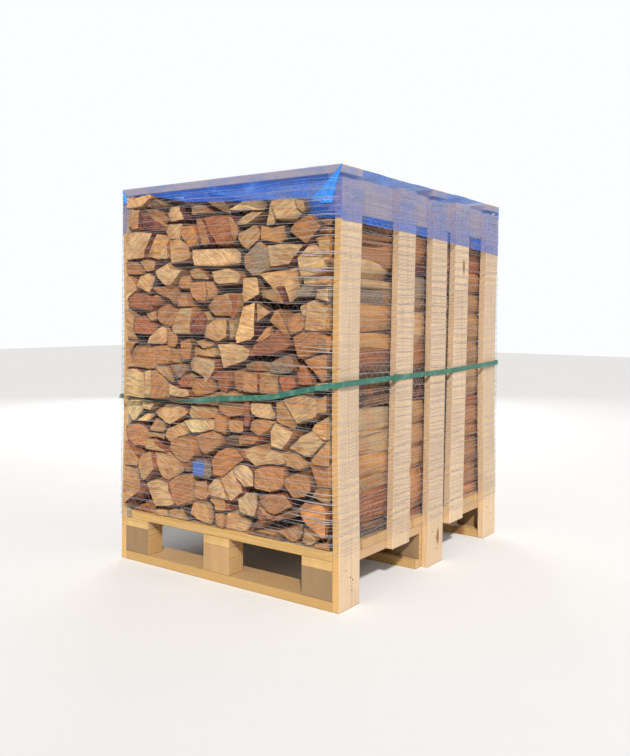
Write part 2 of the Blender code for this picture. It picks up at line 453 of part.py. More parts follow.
def add_board(name, low, high, material, parts, parent, bevel=EDGE_BEVEL):
    """Make a sawn board between two corners."""
    low = Vector(low)
    high = Vector(high)
    item = add_object(name, box_mesh(high - low), (low + high) / 2, parts, material, parent)
    if bevel:
        add_bevel(item, bevel)
    return item


def add_post(name, side, base_y, lean, on_ground, bow, material, parts, parent):
    """Make an upright board on one side, which leans back by lean and bows in by bow at half height."""
    low_z = 0.0 if on_ground else STRINGER_LOW
    high_z = PLANK_LOW - POST_TOP_GAP if on_ground else RAIL_HIGH
    size = Vector((SAWN_THICK, SAWN_WIDTH, high_z - low_z))
    bm = box_mesh(size)
    if bow:
        uprights = [edge for edge in bm.edges if abs(edge.verts[0].co.z - edge.verts[1].co.z) > size.z / 2]
        bmesh.ops.subdivide_edges(bm, edges=uprights, cuts=BOW_CUTS, use_grid_fill=True)
        for vert in bm.verts:
            ring = round((vert.co.z / size.z + 0.5) * (BOW_CUTS + 1))
            if 0 < ring <= BOW_CUTS:
                part = (ring - 1) / (BOW_CUTS - 1)
                vert.co.z = DECK_HIGH + part * (RAIL_LOW - DECK_HIGH) - low_z - size.z / 2
                vert.co.x -= side * bow * 4 * part * (1 - part)
    for vert in bm.verts:
        vert.co.y += lean * (vert.co.z / size.z + 0.5)
    place = (
        side * (POST_SIDE - SAWN_THICK / 2),
        base_y + SAWN_WIDTH / 2,
        low_z + size.z / 2,
    )
    item = add_object(name, bm, place, parts, material, parent)
    add_bevel(item, EDGE_BEVEL)


def make_pallet(material, parts, parent):
    """Make the three bottom boards, nine blocks, three stringers and the deck."""
    columns = (
        ("left", -PALLET_SIDE + BLOCK_SIZE.x / 2),
        ("middle", MIDDLE_BLOCK_SHIFT),
        ("right", PALLET_SIDE - BLOCK_SIZE.x / 2),
    )
    lines = (
        ("front", -PALLET_END + BOTTOM_BOARD_WIDTH / 2, -PALLET_END + BLOCK_SIZE.y / 2),
        ("middle", 0.0, 0.0),
        ("back", PALLET_END - BOTTOM_BOARD_WIDTH / 2, PALLET_END - BLOCK_SIZE.y / 2),
    )
    for line, board_y, block_y in lines:
        add_board(
            f"bottom_board_{line}",
            (-PALLET_SIDE, board_y - BOTTOM_BOARD_WIDTH / 2, 0.0),
            (PALLET_SIDE, board_y + BOTTOM_BOARD_WIDTH / 2, BOARD_THICK),
            material, parts, parent, bevel=0.0,
        )
        for column, block_x in columns:
            add_board(
                f"block_{line}_{column}",
                (block_x - BLOCK_SIZE.x / 2, block_y - BLOCK_SIZE.y / 2, BLOCK_LOW),
                (block_x + BLOCK_SIZE.x / 2, block_y + BLOCK_SIZE.y / 2, BLOCK_HIGH),
                material, parts, parent, bevel=0.0,
            )
    for column, stringer_x in columns:
        add_board(
            f"stringer_{column}",
            (stringer_x - BLOCK_SIZE.x / 2, -PALLET_END, STRINGER_LOW),
            (stringer_x + BLOCK_SIZE.x / 2, PALLET_END, STRINGER_HIGH),
            material, parts, parent, bevel=0.0,
        )
    deck_width = (PALLET_DEPTH - (DECK_BOARDS - 1) * DECK_GAP) / DECK_BOARDS
    for index in range(DECK_BOARDS):
        low_y = -PALLET_END + index * (deck_width + DECK_GAP)
        left_x = -PALLET_SIDE + (DECK_FRONT_STEP if index == 0 else 0.0)
        add_board(
            f"deck_board_{index + 1}",
            (left_x, low_y, DECK_LOW),
            (PALLET_SIDE, low_y + deck_width, DECK_HIGH),
            material, parts, parent, bevel=0.0,
        )


def make_frame(material, parts, parent):
    """Make the posts on both sides, the two rails inside them and the three cross-planks on top."""
    for side, side_name in ((-1, "left"), (1, "right")):
        for index, (base_y, lean, on_ground) in enumerate(POSTS):
            bow = POST_BOW if index in (0, len(POSTS) - 1) else 0.0
            name = f"post_{side_name}_{index + 1}"
            add_post(name, side, base_y, lean, on_ground, bow, material, parts, parent)
        inner = PALLET_SIDE - SAWN_THICK
        add_board(
            f"rail_{side_name}",
            (min(side * inner, side * PALLET_SIDE), -PALLET_END, RAIL_LOW),
            (max(side * inner, side * PALLET_SIDE), PALLET_END, RAIL_HIGH),
            material, parts, parent,
        )
    for line, low_y in (
        ("front", -PALLET_END),
        ("middle", MIDDLE_PLANK_Y),
        ("back", PALLET_END - SAWN_WIDTH),
    ):
        add_board(
            f"cross_plank_{line}",
            (-POST_SIDE, low_y, PLANK_LOW),
            (POST_SIDE, low_y + SAWN_WIDTH, PLANK_TOP),
            material, parts, parent,
        )


def clip_outline(outline, axis, limit, keep):
    """Cut an outline along a line across one axis: keep is 1 for the part above limit and -1 for below."""
    kept = []
    for here, there in zip(outline, outline[1:] + outline[:1]):
        inside_here = keep * (here[axis] - limit) >= 0
        inside_there = keep * (there[axis] - limit) >= 0
        if inside_here:
            kept.append(here)
        if inside_here != inside_there:
            part = (limit - here[axis]) / (there[axis] - here[axis])
            kept.append(here.lerp(there, part))
    return kept


def twice_area(outline):
    """Return twice the area that an outline encloses."""
    return abs(sum(a.cross(b) for a, b in zip(outline, outline[1:] + outline[:1])))


def fewer_points(outline, most):
    """Drop the points that shape an outline least until no more than most are left."""
    outline = list(outline)
    while len(outline) > most:
        ears = [
            (twice_area([outline[i - 1], outline[i], outline[(i + 1) % len(outline)]]), i)
            for i in range(len(outline))
        ]
        outline.pop(min(ears)[1])
    return outline


def end_proud(outline):
    """Return how far a log end stands in front of the posts: those on the deck and under the film don't."""
    top = max(point.y for point in outline)
    low = min(point.y for point in outline)
    middle_x = sum(point.x for point in outline) / len(outline)
    if top > FILM_LOGS_OVER or (middle_x > FLAP_LOGS_FROM and top > FLAP_LOGS_OVER):
        return -FILM_LOG_RECESS
    if low < DECK_LOGS_UNDER:
        return 0.0
    return MEAN_PROUD


def carried_outline(outline, proud):
    """Carry an outline in centimetres along the lines of sight to the plane of the log's end, in metres."""
    scale = (SIGHT_AWAY - proud) / SIGHT_AWAY
    eye = Vector((SIGHT_ACROSS, SIGHT_HEIGHT))
    shift = Vector((OUTLINE_LEFT_X, 0.0))
    return [eye + (point / CM_PER_METRE - eye) * scale + shift for point in outline]


def fitted_outline(outline):
    """Keep an outline between the posts, over the deck and beside the rails."""
    outline = clip_outline(outline, 0, LOG_LEFT, 1)
    outline = clip_outline(outline, 0, LOG_RIGHT, -1)
    outline = clip_outline(outline, 1, LOGS_LOW, 1)
    if max(point.y for point in outline) > RAIL_LOW - CLEARANCE:
        outline = clip_outline(outline, 0, -RAIL_ROOM, 1)
        outline = clip_outline(outline, 0, RAIL_ROOM, -1)
    return rooted_outline(outline)


def rooted_outline(outline):
    """Draw in the inner corners of a log at a side or on top, to meet the logs that it lies against."""
    side = PALLET_SIDE - HEART_SIDE - ROOT_DEPTH
    top = HEART_TOP - ROOT_DEPTH
    if min(abs(point.x) for point in outline) > side:
        hand = 1 if outline[0].x > 0 else -1
        middle = sum(abs(point.x) for point in outline) / len(outline)
        outline = [Vector((hand * side, point.y)) if abs(point.x) < middle else point for point in outline]
    if min(point.y for point in outline) > top:
        middle = sum(point.y for point in outline) / len(outline)
        outline = [Vector((point.x, top)) if point.y < middle else point for point in outline]
    return outline


def extrude_outline(bm, outline, front_y, back_y):
    """Add a log to a bmesh: its end's outline, drawn out from the front plane to the back one."""
    face = bm.faces.new([bm.verts.new((point.x, front_y, point.y)) for point in outline])
    drawn = bmesh.ops.extrude_face_region(bm, geom=[face], use_keep_orig=True)
    moved = [item for item in drawn["geom"] if isinstance(item, bmesh.types.BMVert)]
    bmesh.ops.translate(bm, verts=moved, vec=(0.0, back_y - front_y, 0.0))


def logs_to_row(name, logs, low_y, high_y, material, parts, cutters, parent):
    """Make one row: its logs, fused where they lie against each other, with gaps between their ends."""
    bm = bmesh.new()
    for outline, front_y, back_y in logs:
        extrude_outline(bm, outline, front_y, back_y)
    lengths = add_object(f"{name}_logs", bm, (0.0, 0.0, 0.0), cutters, material)
    lengths.hide_render = True
    lengths.display_type = "WIRE"
    low = Vector((-PALLET_SIDE + HEART_SIDE, low_y, LOGS_LOW))
    high = Vector((PALLET_SIDE - HEART_SIDE, high_y, HEART_TOP))
    row = add_object(name, box_mesh(high - low), (low + high) / 2, parts, material, parent)
    join = row.modifiers.new("touching_logs", "BOOLEAN")
    join.operation = "UNION"
    join.solver = "EXACT"
    join.use_self = True
    join.object = lengths


def turned_outline(outline):
    """Turn an outline in centimetres half round, for the logs of the back row."""
    width = -2 * OUTLINE_LEFT_X * CM_PER_METRE
    return [Vector((width - point.x, OUTLINE_HEIGHT - point.y)) for point in outline]


def make_rows(material, parts, cutters, parent):
    """Make the front row from the drawn log ends, the middle row, and the back row with the ends turned."""
    draw = random.Random(END_SEED)
    ends = [[Vector(point) for point in outline] for outline in LOG_ENDS]
    length = (2 * PALLET_END - (ROWS - 1) * ROW_GAP) / ROWS
    bounds = [-PALLET_END + index * (length + ROW_GAP) for index in range(ROWS)]

    front_logs = []
    for outline in ends:
        proud = end_proud(outline)
        fitted = fewer_points(fitted_outline(carried_outline(outline, proud)), FRONT_LOG_POINTS)
        front_y = OUTLINE_PLANE_Y - proud + draw.uniform(*END_SCATTER)
        if proud < 0:
            front_y = max(front_y, -PALLET_END + FILM_THICK * 2)
        front_logs.append((fitted, front_y, bounds[0] + length - ROW_GAP))
    logs_to_row("log_row_front", front_logs, bounds[0] + END_RECESS, bounds[0] + length,
                material, parts, cutters, parent)

    middle_logs = []
    for outline in ends:
        fitted = fitted_outline(carried_outline(outline, 0.0))
        if max(abs(point.x) for point in fitted) > PALLET_SIDE - HEART_SIDE + SIDE_LOG_REACH:
            fitted = fewer_points(fitted, MIDDLE_LOG_POINTS)
            mirrored = [Vector((-point.x - SIDE_LOG_REACH, point.y)) for point in reversed(fitted)]
            mirrored = fitted_outline(mirrored)
            middle_logs.append((mirrored, bounds[1] + ROW_GAP, bounds[1] + length - ROW_GAP))
    logs_to_row("log_row_middle", middle_logs, bounds[1], bounds[1] + length,
                material, parts, cutters, parent)

    back_logs = []
    for outline in ends:
        if twice_area(outline) / 2 < BACK_LOG_AREA:
            continue
        proud = end_proud(turned_outline(outline))
        fitted = fitted_outline(carried_outline(turned_outline(outline), 0.0))
        fitted = fewer_points(fitted, BACK_LOG_POINTS)
        back_y = -OUTLINE_PLANE_Y + proud - draw.uniform(*END_SCATTER)
        if proud < 0:
            back_y = min(back_y, PALLET_END - FILM_THICK * 2)
        back_logs.append((fitted, bounds[2] + ROW_GAP, back_y))
    logs_to_row("log_row_back", back_logs, bounds[2], bounds[2] + length - END_RECESS,
                material, parts, cutters, parent)


def skirt_height(x, y):
    """Return the height of the film's lower edge: deep on the sides, short at the ends but for a flap."""
    away = y + FILM_END
    if abs(x) > FILM_SIDE - CLEARANCE:
        return SKIRT_SIDE - SKIRT_SIDE_DROP * away ** 2
    if y < 0 and x > FLAP_FROM:
        return FLAP_LOW - FLAP_SLOPE * (x - FLAP_FROM)
    if y < 0 and x < FOLD_FROM:
        return FOLD_LOW
    return SKIRT_END


def make_film(material, parts, parent):
    """Make the cover film: a sheet that lies on the cross-planks, sags between them and hangs down."""
    across = (-FILM_SIDE, *CREASES_ACROSS, FILM_SIDE)
    along = (-FILM_END, *CREASES_ALONG, FILM_END)
    bm = bmesh.new()
    bmesh.ops.create_grid(bm, x_segments=len(across) - 1, y_segments=len(along) - 1, size=0.5)
    for vert in bm.verts:
        column = round((vert.co.x + 0.5) * (len(across) - 1))
        line = round((vert.co.y + 0.5) * (len(along) - 1))
        sag = FILM_SAG if along[line] in SAGGING_CREASES else 0.0
        vert.co = Vector((across[column], along[line], PLANK_TOP + CLEARANCE - sag))
    rim = [edge for edge in bm.edges if edge.is_boundary]
    hung = bmesh.ops.extrude_edge_only(bm, edges=rim)["geom"]
    for vert in (item for item in hung if isinstance(item, bmesh.types.BMVert)):
        vert.co.z = skirt_height(vert.co.x, vert.co.y)
    film = add_object("film_cover", bm, (0.0, 0.0, 0.0), parts, material, parent)
    if film.data.polygons[0].normal.z < 0:
        film.data.flip_normals()
    add_wall(film, FILM_THICK, even=False)


def wrap_path(outwards):
    """Return the corners of a line round the load, so far outside the net's inner face, from front left."""
    side = NET_SIDE + outwards
    end = NET_END + outwards
    shoulder = NET_SHOULDER + outwards / 2
    corner = NET_CORNER + outwards / 2
    return [
        Vector((-corner, -end)), Vector((corner, -end)),
        Vector((side, -shoulder)), Vector((side, shoulder)),
        Vector((corner, end)), Vector((-corner, end)),
        Vector((-side, shoulder)), Vector((-side, -shoulder)),
    ]


def make_net(material, parts, parent):
    """Make the net that wraps the load: level bands round it, tied by one upright band on each face."""
    corners = wrap_path(0.0)
    stations = []
    upright = []
    for index, corner in enumerate(corners):
        ahead = corners[(index + 1) % len(corners)]
        stations.append(corner)
        upright.append(False)
        if index % 2 == 0:
            step = (ahead - corner).normalized() * NET_BAND_WIDTH / 2
            middle = (corner + ahead) / 2
            stations += [middle - step, middle + step]
            upright += [True, False]
    pitch = (NET_HIGH - NET_LOW - NET_BAND_WIDTH) / (NET_BANDS - 1)
    heights = []
    for band in range(NET_BANDS):
        heights += [NET_LOW + band * pitch, NET_LOW + band * pitch + NET_BAND_WIDTH]
    bm = bmesh.new()
    grid = [[bm.verts.new((*station, height)) for station in stations] for height in heights]
    for level in range(len(heights) - 1):
        for index, is_upright in enumerate(upright):
            if level % 2 and not is_upright:
                continue
            ahead = (index + 1) % len(stations)
            below = (grid[level][index], grid[level][ahead])
            above = (grid[level + 1][ahead], grid[level + 1][index])
            bm.faces.new((*below, *above))
    net = add_object("net_wrap", bm, (0.0, 0.0, 0.0), parts, material, parent)
    face_outwards(net)
    add_wall(net, NET_THICK)


def face_outwards(item):
    """Turn the faces of an upright ring so that they point away from its middle."""
    first = item.data.polygons[0]
    if first.normal.dot(first.center * Vector((1, 1, 0))) < 0:
        item.data.flip_normals()


def make_strap(material, seal_material, parts, parent):
    """Make the strap: level on the right, drooping to the left along the front, with its seal."""
    front_right = wrap_path(STRAP_OFFSET)[1]
    side, shoulder = wrap_path(STRAP_OFFSET)[3]
    path = [(x, front_right.y, z) for x, z in STRAP_FRONT]
    path += [(side, part * shoulder, z) for part, z in STRAP_RIGHT]
    path += [(part * front_right.x, -front_right.y, z) for part, z in STRAP_BACK]
    path += [(-side, part * shoulder, z) for part, z in STRAP_LEFT]
    bm = bmesh.new()
    lower = [bm.verts.new((x, y, z - STRAP_WIDTH / 2)) for x, y, z in path]
    upper = [bm.verts.new((x, y, z + STRAP_WIDTH / 2)) for x, y, z in path]
    for index in range(len(path)):
        ahead = (index + 1) % len(path)
        bm.faces.new((lower[index], lower[ahead], upper[ahead], upper[index]))
    strap = add_object("strap", bm, (0.0, 0.0, 0.0), parts, material, parent)
    face_outwards(strap)
    add_wall(strap, STRAP_THICK)

    seal_x = side + STRAP_THICK + CLEARANCE + SEAL_SIZE.x / 2
    add_object("strap_seal", box_mesh(SEAL_SIZE), (seal_x, SEAL_Y, SEAL_HEIGHT), parts, seal_material, parent)


def main():
    """Build the whole load."""
    clear_scene()
    parts = make_collection("firewood_pallet")
    cutters = make_collection("firewood_pallet_cutters")
    materials = {name: make_material(name) for name in FINISHES}
    root = bpy.data.objects.new("firewood_pallet_origin", None)
    parts.objects.link(root)
    make_pallet(materials["pallet_pine"], parts, root)
    make_frame(materials["sawn_spruce"], parts, root)
    make_rows(materials["split_firewood"], parts, cutters, root)
    make_film(materials["blue_film"], parts, root)
    make_net(materials["net_yarn"], parts, root)
    make_strap(materials["green_strap"], materials["strap_seal_metal"], parts, root)


main()
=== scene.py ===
"""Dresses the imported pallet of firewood: split logs, sawn boards, blue film, net and strap."""

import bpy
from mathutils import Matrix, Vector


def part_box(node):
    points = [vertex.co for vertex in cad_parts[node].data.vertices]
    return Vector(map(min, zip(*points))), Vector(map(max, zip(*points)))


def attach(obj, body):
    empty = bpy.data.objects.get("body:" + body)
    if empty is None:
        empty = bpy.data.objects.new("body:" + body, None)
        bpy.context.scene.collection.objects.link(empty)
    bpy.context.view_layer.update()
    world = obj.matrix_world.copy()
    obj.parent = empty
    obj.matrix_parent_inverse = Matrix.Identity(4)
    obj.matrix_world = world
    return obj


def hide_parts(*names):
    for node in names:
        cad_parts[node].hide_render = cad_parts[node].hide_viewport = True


bl_info = {
    "name": "Firewood pallet",
    "version": (1, 0, 0),
    "blender": (4, 5, 0),
    "location": "View3D > Sidebar > Firewood",
    "description": "Builds the looks of a pallet of firewood around its packed solids",
    "category": "Object",
}

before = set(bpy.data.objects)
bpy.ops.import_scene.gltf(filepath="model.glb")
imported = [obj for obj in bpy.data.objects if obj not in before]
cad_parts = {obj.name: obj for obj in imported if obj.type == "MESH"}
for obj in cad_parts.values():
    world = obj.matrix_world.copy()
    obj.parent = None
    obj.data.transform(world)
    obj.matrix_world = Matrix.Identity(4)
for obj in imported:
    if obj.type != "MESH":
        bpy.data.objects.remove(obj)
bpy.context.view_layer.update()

import math

import bpy
import numpy as np
from bpy.props import FloatProperty, FloatVectorProperty, IntProperty, PointerProperty

BODY = "root"


def node_box(name):
    """Return a solid's lowest and highest corners as arrays."""
    low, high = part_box(name)
    return np.array(low), np.array(high)


# Faces read from the solids
POST_FACE = node_box("post_right_1")[1][0]
POST_INNER = node_box("rail_right")[1][0]
POST_FRONT = node_box("post_right_1")[0][1]
DECK_TOP = node_box("deck_board_2")[1][2]
PLANK_TOP = node_box("cross_plank_front")[1][2]
PLANK_LOW = node_box("cross_plank_front")[0][2]
RAIL_LOW = node_box("rail_right")[0][2]
RAIL_FRONT = node_box("rail_right")[0][1]
NET_LOW_CORNER, NET_HIGH_CORNER = node_box("net_wrap")
NET_SIDE = NET_HIGH_CORNER[0]
NET_END = NET_HIGH_CORNER[1]
ROW_ENDS = [node_box(f"log_row_{line}") for line in ("front", "middle", "back")]

# Room for the logs: across between the posts, and from the deck to under the film
LOG_LEFT = -0.3905
LOG_RIGHT = 0.3895
LOGS_LOW = DECK_TOP + 0.0006
LOG_ROOM_AT_RAIL = 0.3745
TURN_HEIGHT = 1.292
# How far the logs of each row grow behind their ends, to lie against each other
SWELLS = {"front": 0.0070, "middle": 0.0120, "back": 0.0080}
# The same at the lower left of the front, where the outlines leave a wide gap
GAP_SWELL = 0.0160
# Direction of the saw's marks on a log end, in radians: the lowest one and the spread above it
SLANT_START = math.pi / 2 - 0.7
SLANT_SPREAD = 1.4

# Tones of wood, as linear colours. The darkest brown is partly dark wood and partly painted shade on
# logs that lie in shade: sunk between their neighbours, in the gaps and under the planks
WOOD_TONES = {
    "pale": (0.66, 0.44, 0.19),
    "light": (0.56, 0.345, 0.155),
    "tan": (0.46, 0.25, 0.095),
    "orange": (0.41, 0.185, 0.064),
    "red": (0.30, 0.095, 0.034),
    "purple": (0.13, 0.028, 0.023),
    "grey": (0.25, 0.18, 0.115),
    "brown_and_shade": (0.13, 0.060, 0.026),
}

# Where the logs of each tone lie on the front: centimetres across from the left posts' outer faces,
# and up from the ground. Every other log is tan.
TONE_PLACES = {
    "pale": ((2, 86), (4, 56), (12, 56), (35, 45), (11, 49)),
    "light": ((9, 113), (24, 108), (52, 104.5), (65, 106.5), (6, 99), (23, 102), (23, 96), (40, 94.5),
              (65, 94), (75, 92), (7, 92.5), (20, 89.5), (9.5, 87), (33, 89.5), (44, 88.5), (64, 88),
              (53, 85), (78, 83), (26, 76), (41, 73), (51, 75), (76, 77), (17, 71), (46, 66), (34, 62.5),
              (27, 54), (22, 47.5), (35, 48.5), (59, 51), (73, 52.5), (64, 45), (74, 43.5), (60, 38),
              (52, 32), (46, 29.5), (17, 23), (49, 18.5), (52, 24)),
    "orange": ((15, 108), (27, 101.5), (34, 102), (40, 102), (46, 102), (76, 100.5), (55, 94),
               (7, 91), (78, 100), (21, 84), (32, 84.5), (40, 80.5), (19, 77), (62, 76), (69, 75),
               (58, 69), (73, 69.5), (12, 64), (23, 64.5), (26, 67), (36, 57), (48, 59), (53, 58.5),
               (78, 64), (16, 55), (43, 50), (25, 48), (41, 46), (57, 46), (7, 39), (27, 37), (37, 39.5),
               (44, 35.5), (60, 32.5), (70, 32), (78, 35), (25, 25), (34, 25.5), (62, 25.5), (77, 23.5)),
    "red": ((20, 108.5), (41, 103), (5, 92), (16, 84.5), (6, 81.5), (22, 83), (10, 75.5), (33, 75),
            (47, 80), (62, 69), (43, 58), (76, 65), (32, 57), (70, 62), (53, 38.5), (55, 50.5),
            (12, 19), (62, 22.5), (5, 18.5)),
    "purple": ((13, 106.5), (34, 75.5), (3, 81), (31, 74)),
    "grey": ((28, 108), (34, 108.5), (18, 65), (63, 64), (57, 82.5), (55, 93), (34.5, 48), (31, 61),
             (58, 84), (72, 84), (35, 32.5)),
    # The darkest brown logs: partly dark wood, partly painted shade on logs sunk back or lying under the
    # planks
    "brown_and_shade": ((14, 111.7), (31, 112), (8, 52), (52.5, 50), (38.5, 60), (26.5, 51.5), (72, 49),
              (48, 38), (27.5, 31.5), (12, 21), (56, 18.5), (58, 22), (65, 22)),
}

# Tones up the right side, where the logs lie lengthwise: lower edge of each band in metres, row by row.
# The bands of the darkest brown are partly dark logs and partly painted shade: the narrow ones fill the
# gaps between logs, the top ones lie under the planks
SIDE_TONES = {
    "front": ((0.0, "brown_and_shade"), (0.185, "red"), (0.26, "tan"), (0.31, "brown_and_shade"), (0.33, "tan"),
              (0.40, "light"), (0.53, "brown_and_shade"), (0.605, "red"), (0.66, "tan"), (0.71, "brown_and_shade"),
              (0.72, "tan"), (0.80, "grey"), (0.86, "light"), (0.93, "orange"), (1.0, "brown_and_shade")),
    "middle": ((0.0, "red"), (0.22, "orange"), (0.28, "tan"), (0.42, "tan"), (0.50, "purple"),
               (0.585, "orange"), (0.70, "light"), (0.75, "orange"), (0.80, "grey"), (0.90, "purple"),
               (0.96, "orange"), (1.02, "brown_and_shade")),
    "back": ((0.0, "orange"), (0.27, "brown_and_shade"), (0.29, "orange"), (0.45, "red"), (0.54, "tan"),
             (0.575, "brown_and_shade"), (0.60, "tan"), (0.78, "grey"), (0.80, "tan"), (0.87, "orange"),
             (0.93, "red"), (1.0, "brown_and_shade")),
}

# Lower edge of the film's front end: places across from the middle, and heights
FILM_EDGE_PLACES = (-0.4217, -0.399, -0.391, -0.300, -0.140, 0.070, 0.310, 0.316, 0.385, 0.4217)
FILM_EDGE_HEIGHTS = (1.030, 1.030, 1.143, 1.142, 1.109, 1.096, 1.086, 1.036, 1.030, 1.028)
# Folds at the corners: depth, parts of the depth from the top down, how far the inner edge lies from
# the corner there, and how far the outer edge does at the lowest part
WIDE_FOLD = (0.098, (0.0, 0.50, 0.82, 1.0), (0.001, 0.064, 0.104, 0.062), 0.032)
NARROW_FOLD = (0.045, (0.0, 0.55, 0.90, 1.0), (0.001, 0.022, 0.030, 0.020), 0.0)

# Looks of the boards by their names or the first word of them: tone, tone of the late rings, share of
# worn patches, and share and tone of the faces towards the front. The front tone is partly the end
# grain's own colour and partly painted light: sunlit gold on the front edges, painted shade on the
# rail and block ends
PALE_BOARD, PALE_RINGS = (0.67, 0.495, 0.330), (0.72, 0.45, 0.22)
GOLDEN_BOARD, GOLDEN_RINGS = (0.60, 0.37, 0.15), (0.46, 0.21, 0.055)
# The front posts' front edges take more of the painted sunlight than the other posts'
FRONT_POST = (PALE_BOARD, PALE_RINGS, 0.35, 0.75, (0.66, 0.36, 0.085))
BOARD_LOOKS = {
    "post_left_1": FRONT_POST,
    "post_right_1": FRONT_POST,
    "post": (PALE_BOARD, PALE_RINGS, 0.35, 0.35, (0.66, 0.40, 0.15)),
    "cross": (PALE_BOARD, PALE_RINGS, 0.35, 0.0, PALE_BOARD),
    "rail": (PALE_BOARD, PALE_RINGS, 0.35, 0.92, (0.36, 0.20, 0.075)),
    "deck": (GOLDEN_BOARD, GOLDEN_RINGS, 0.35, 0.75, (0.64, 0.37, 0.090)),
    "bottom": ((0.60, 0.38, 0.17), PALE_RINGS, 0.55, 0.85, (0.52, 0.31, 0.105)),
    "stringer": ((0.56, 0.36, 0.20), PALE_RINGS, 0.35, 0.75, (0.66, 0.41, 0.14)),
    "block_front_middle": (GOLDEN_BOARD, GOLDEN_RINGS, 0.45, 0.75, (0.46, 0.28, 0.125)),
    "block": (GOLDEN_BOARD, GOLDEN_RINGS, 0.45, 0.85, (0.24, 0.155, 0.080)),
}

# Camera, in the frame's metres and in degrees
CAMERA_PLACE = (1.606, -2.240, 0.777)
CAMERA_YAW = 35.05
CAMERA_PITCH = -0.44
CAMERA_ROLL = -0.44
CAMERA_LENS = 38.78
CAMERA_SHIFT = (-0.0195, -0.0754)


class Term:
    """One output of a node, with arithmetic that adds Math nodes."""

    def __init__(self, finish, socket):
        self.finish = finish
        self.socket = socket

    def math(self, operation, *values):
        return self.finish.node("Math", {"operation": operation}, dict(enumerate((self, *values))))

    def __add__(self, other):
        return self.math("ADD", other)

    __radd__ = __add__

    def __sub__(self, other):
        return self.math("SUBTRACT", other)

    def __rsub__(self, other):
        return self.finish.node("Math", {"operation": "SUBTRACT"}, {0: other, 1: self})

    def __mul__(self, other):
        return self.math("MULTIPLY", other)

    def __pow__(self, other):
        return self.math("POWER", other)

    def sine(self):
        return self.math("SINE")

    def absolute(self):
        return self.math("ABSOLUTE")

    def between(self, low, high, start=0.0, end=1.0):
        """Rise smoothly from start to end while the value goes from low to high."""
        values = {"Value": self, "From Min": low, "From Max": high, "To Min": start, "To Max": end}
        return self.finish.node("MapRange", {"interpolation_type": "SMOOTHSTEP"}, values)


class Finish:
    """A material in the making: its nodes, its surface shader and the one method that adds a node."""

    def __init__(self, name):
        self.material = bpy.data.materials.new(name)
        self.material.use_nodes = True
        self.tree = self.material.node_tree
        self.surface = self.tree.nodes["Principled BSDF"]

    def node(self, kind, settings, values, output=0):
        """Add a node of a kind: first its settings, then the values of its sockets."""
        node = self.tree.nodes.new("ShaderNode" + kind)
        for name, value in settings.items():
            setattr(node, name, value)
        for name, value in values.items():
            self.feed(node.inputs[name], value)
        return Term(self, node.outputs[output])

    def feed(self, socket, value):
        """Set a socket to a number or colour, or link a term to it."""
        if isinstance(value, Term):
            self.tree.links.new(value.socket, socket)
        elif hasattr(value, "__len__") and len(socket.default_value) == 4 and len(value) == 3:
            socket.default_value = (*value, 1.0)
        else:
            socket.default_value = value

    def shader(self, **values):
        """Set the surface's sockets by their names, with _ for a space."""
        for name, value in values.items():
            self.feed(self.surface.inputs[name.replace("_", " ")], value)
        return self.material

    def place(self):
        """Object coordinates as one vector and its three parts."""
        place = self.node("TexCoord", {}, {}, "Object")
        return place, self.parts(place)

    def parts(self, vector):
        node = self.node("SeparateXYZ", {}, {0: vector}).socket.node
        return [Term(self, socket) for socket in node.outputs]

    def vector(self, x, y, z):
        return self.node("CombineXYZ", {}, {0: x, 1: y, 2: z})

    def attribute(self, name, output="Vector"):
        return self.node("Attribute", {"attribute_name": name}, {}, output)

    def noise(self, vector, scale, detail=2.0, roughness=0.5):
        values = {"Vector": vector, "Scale": scale, "Detail": detail, "Roughness": roughness}
        return self.node("TexNoise", {}, values)

    def blend(self, share, low, high, how="MIX"):
        """Mix two colours by a share."""
        settings = {"data_type": "RGBA", "blend_type": how}
        return self.node("Mix", settings, {0: share, 6: low, 7: high}, 2)

    def shade(self, colour, amount):
        """Darken or lighten a colour by a number around 1."""
        return self.node("VectorMath", {"operation": "SCALE"}, {0: colour, "Scale": amount})

    def bump(self, height, distance, strength=1.0, under=None):
        values = {"Height": height, "Distance": distance, "Strength": strength}
        if under:
            values["Normal"] = under
        return self.node("Bump", {}, values)


def add_piece(name, points, faces, material, replaces=(), attributes=None, smooth=True):
    """Make a mesh piece from arrays, with per-point attributes, and let it ride on the load."""
    mesh = bpy.data.meshes.new(name)
    mesh.from_pydata(points.tolist(), [], faces)
    for key, values in (attributes or {}).items():
        kind = "FLOAT_VECTOR" if values.shape[1] == 3 else "FLOAT_COLOR"
        target = mesh.attributes.new(key, kind, "POINT")
        target.data.foreach_set("vector" if kind == "FLOAT_VECTOR" else "color",
                                values.astype(np.float32).ravel())
    mesh.polygons.foreach_set("use_smooth", [smooth] * len(mesh.polygons))
    mesh.materials.append(material)
    mesh.update()
    piece = bpy.data.objects.new(name, mesh)
    bpy.context.scene.collection.objects.link(piece)
    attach(piece, BODY)
    if replaces:
        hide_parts(*replaces)
    return piece


def grid_faces(rows, columns, closed=False, start=0):
    """Faces of a grid of points, row by row; a closed grid joins its last column to its first."""
    across = np.arange(columns if closed else columns - 1)
    ahead = (across + 1) % columns
    row = np.arange(rows - 1)[:, None] * columns + start
    corners = (row + across, row + ahead, row + columns + ahead, row + columns + across)
    return np.stack(corners, -1).reshape(-1, 4)


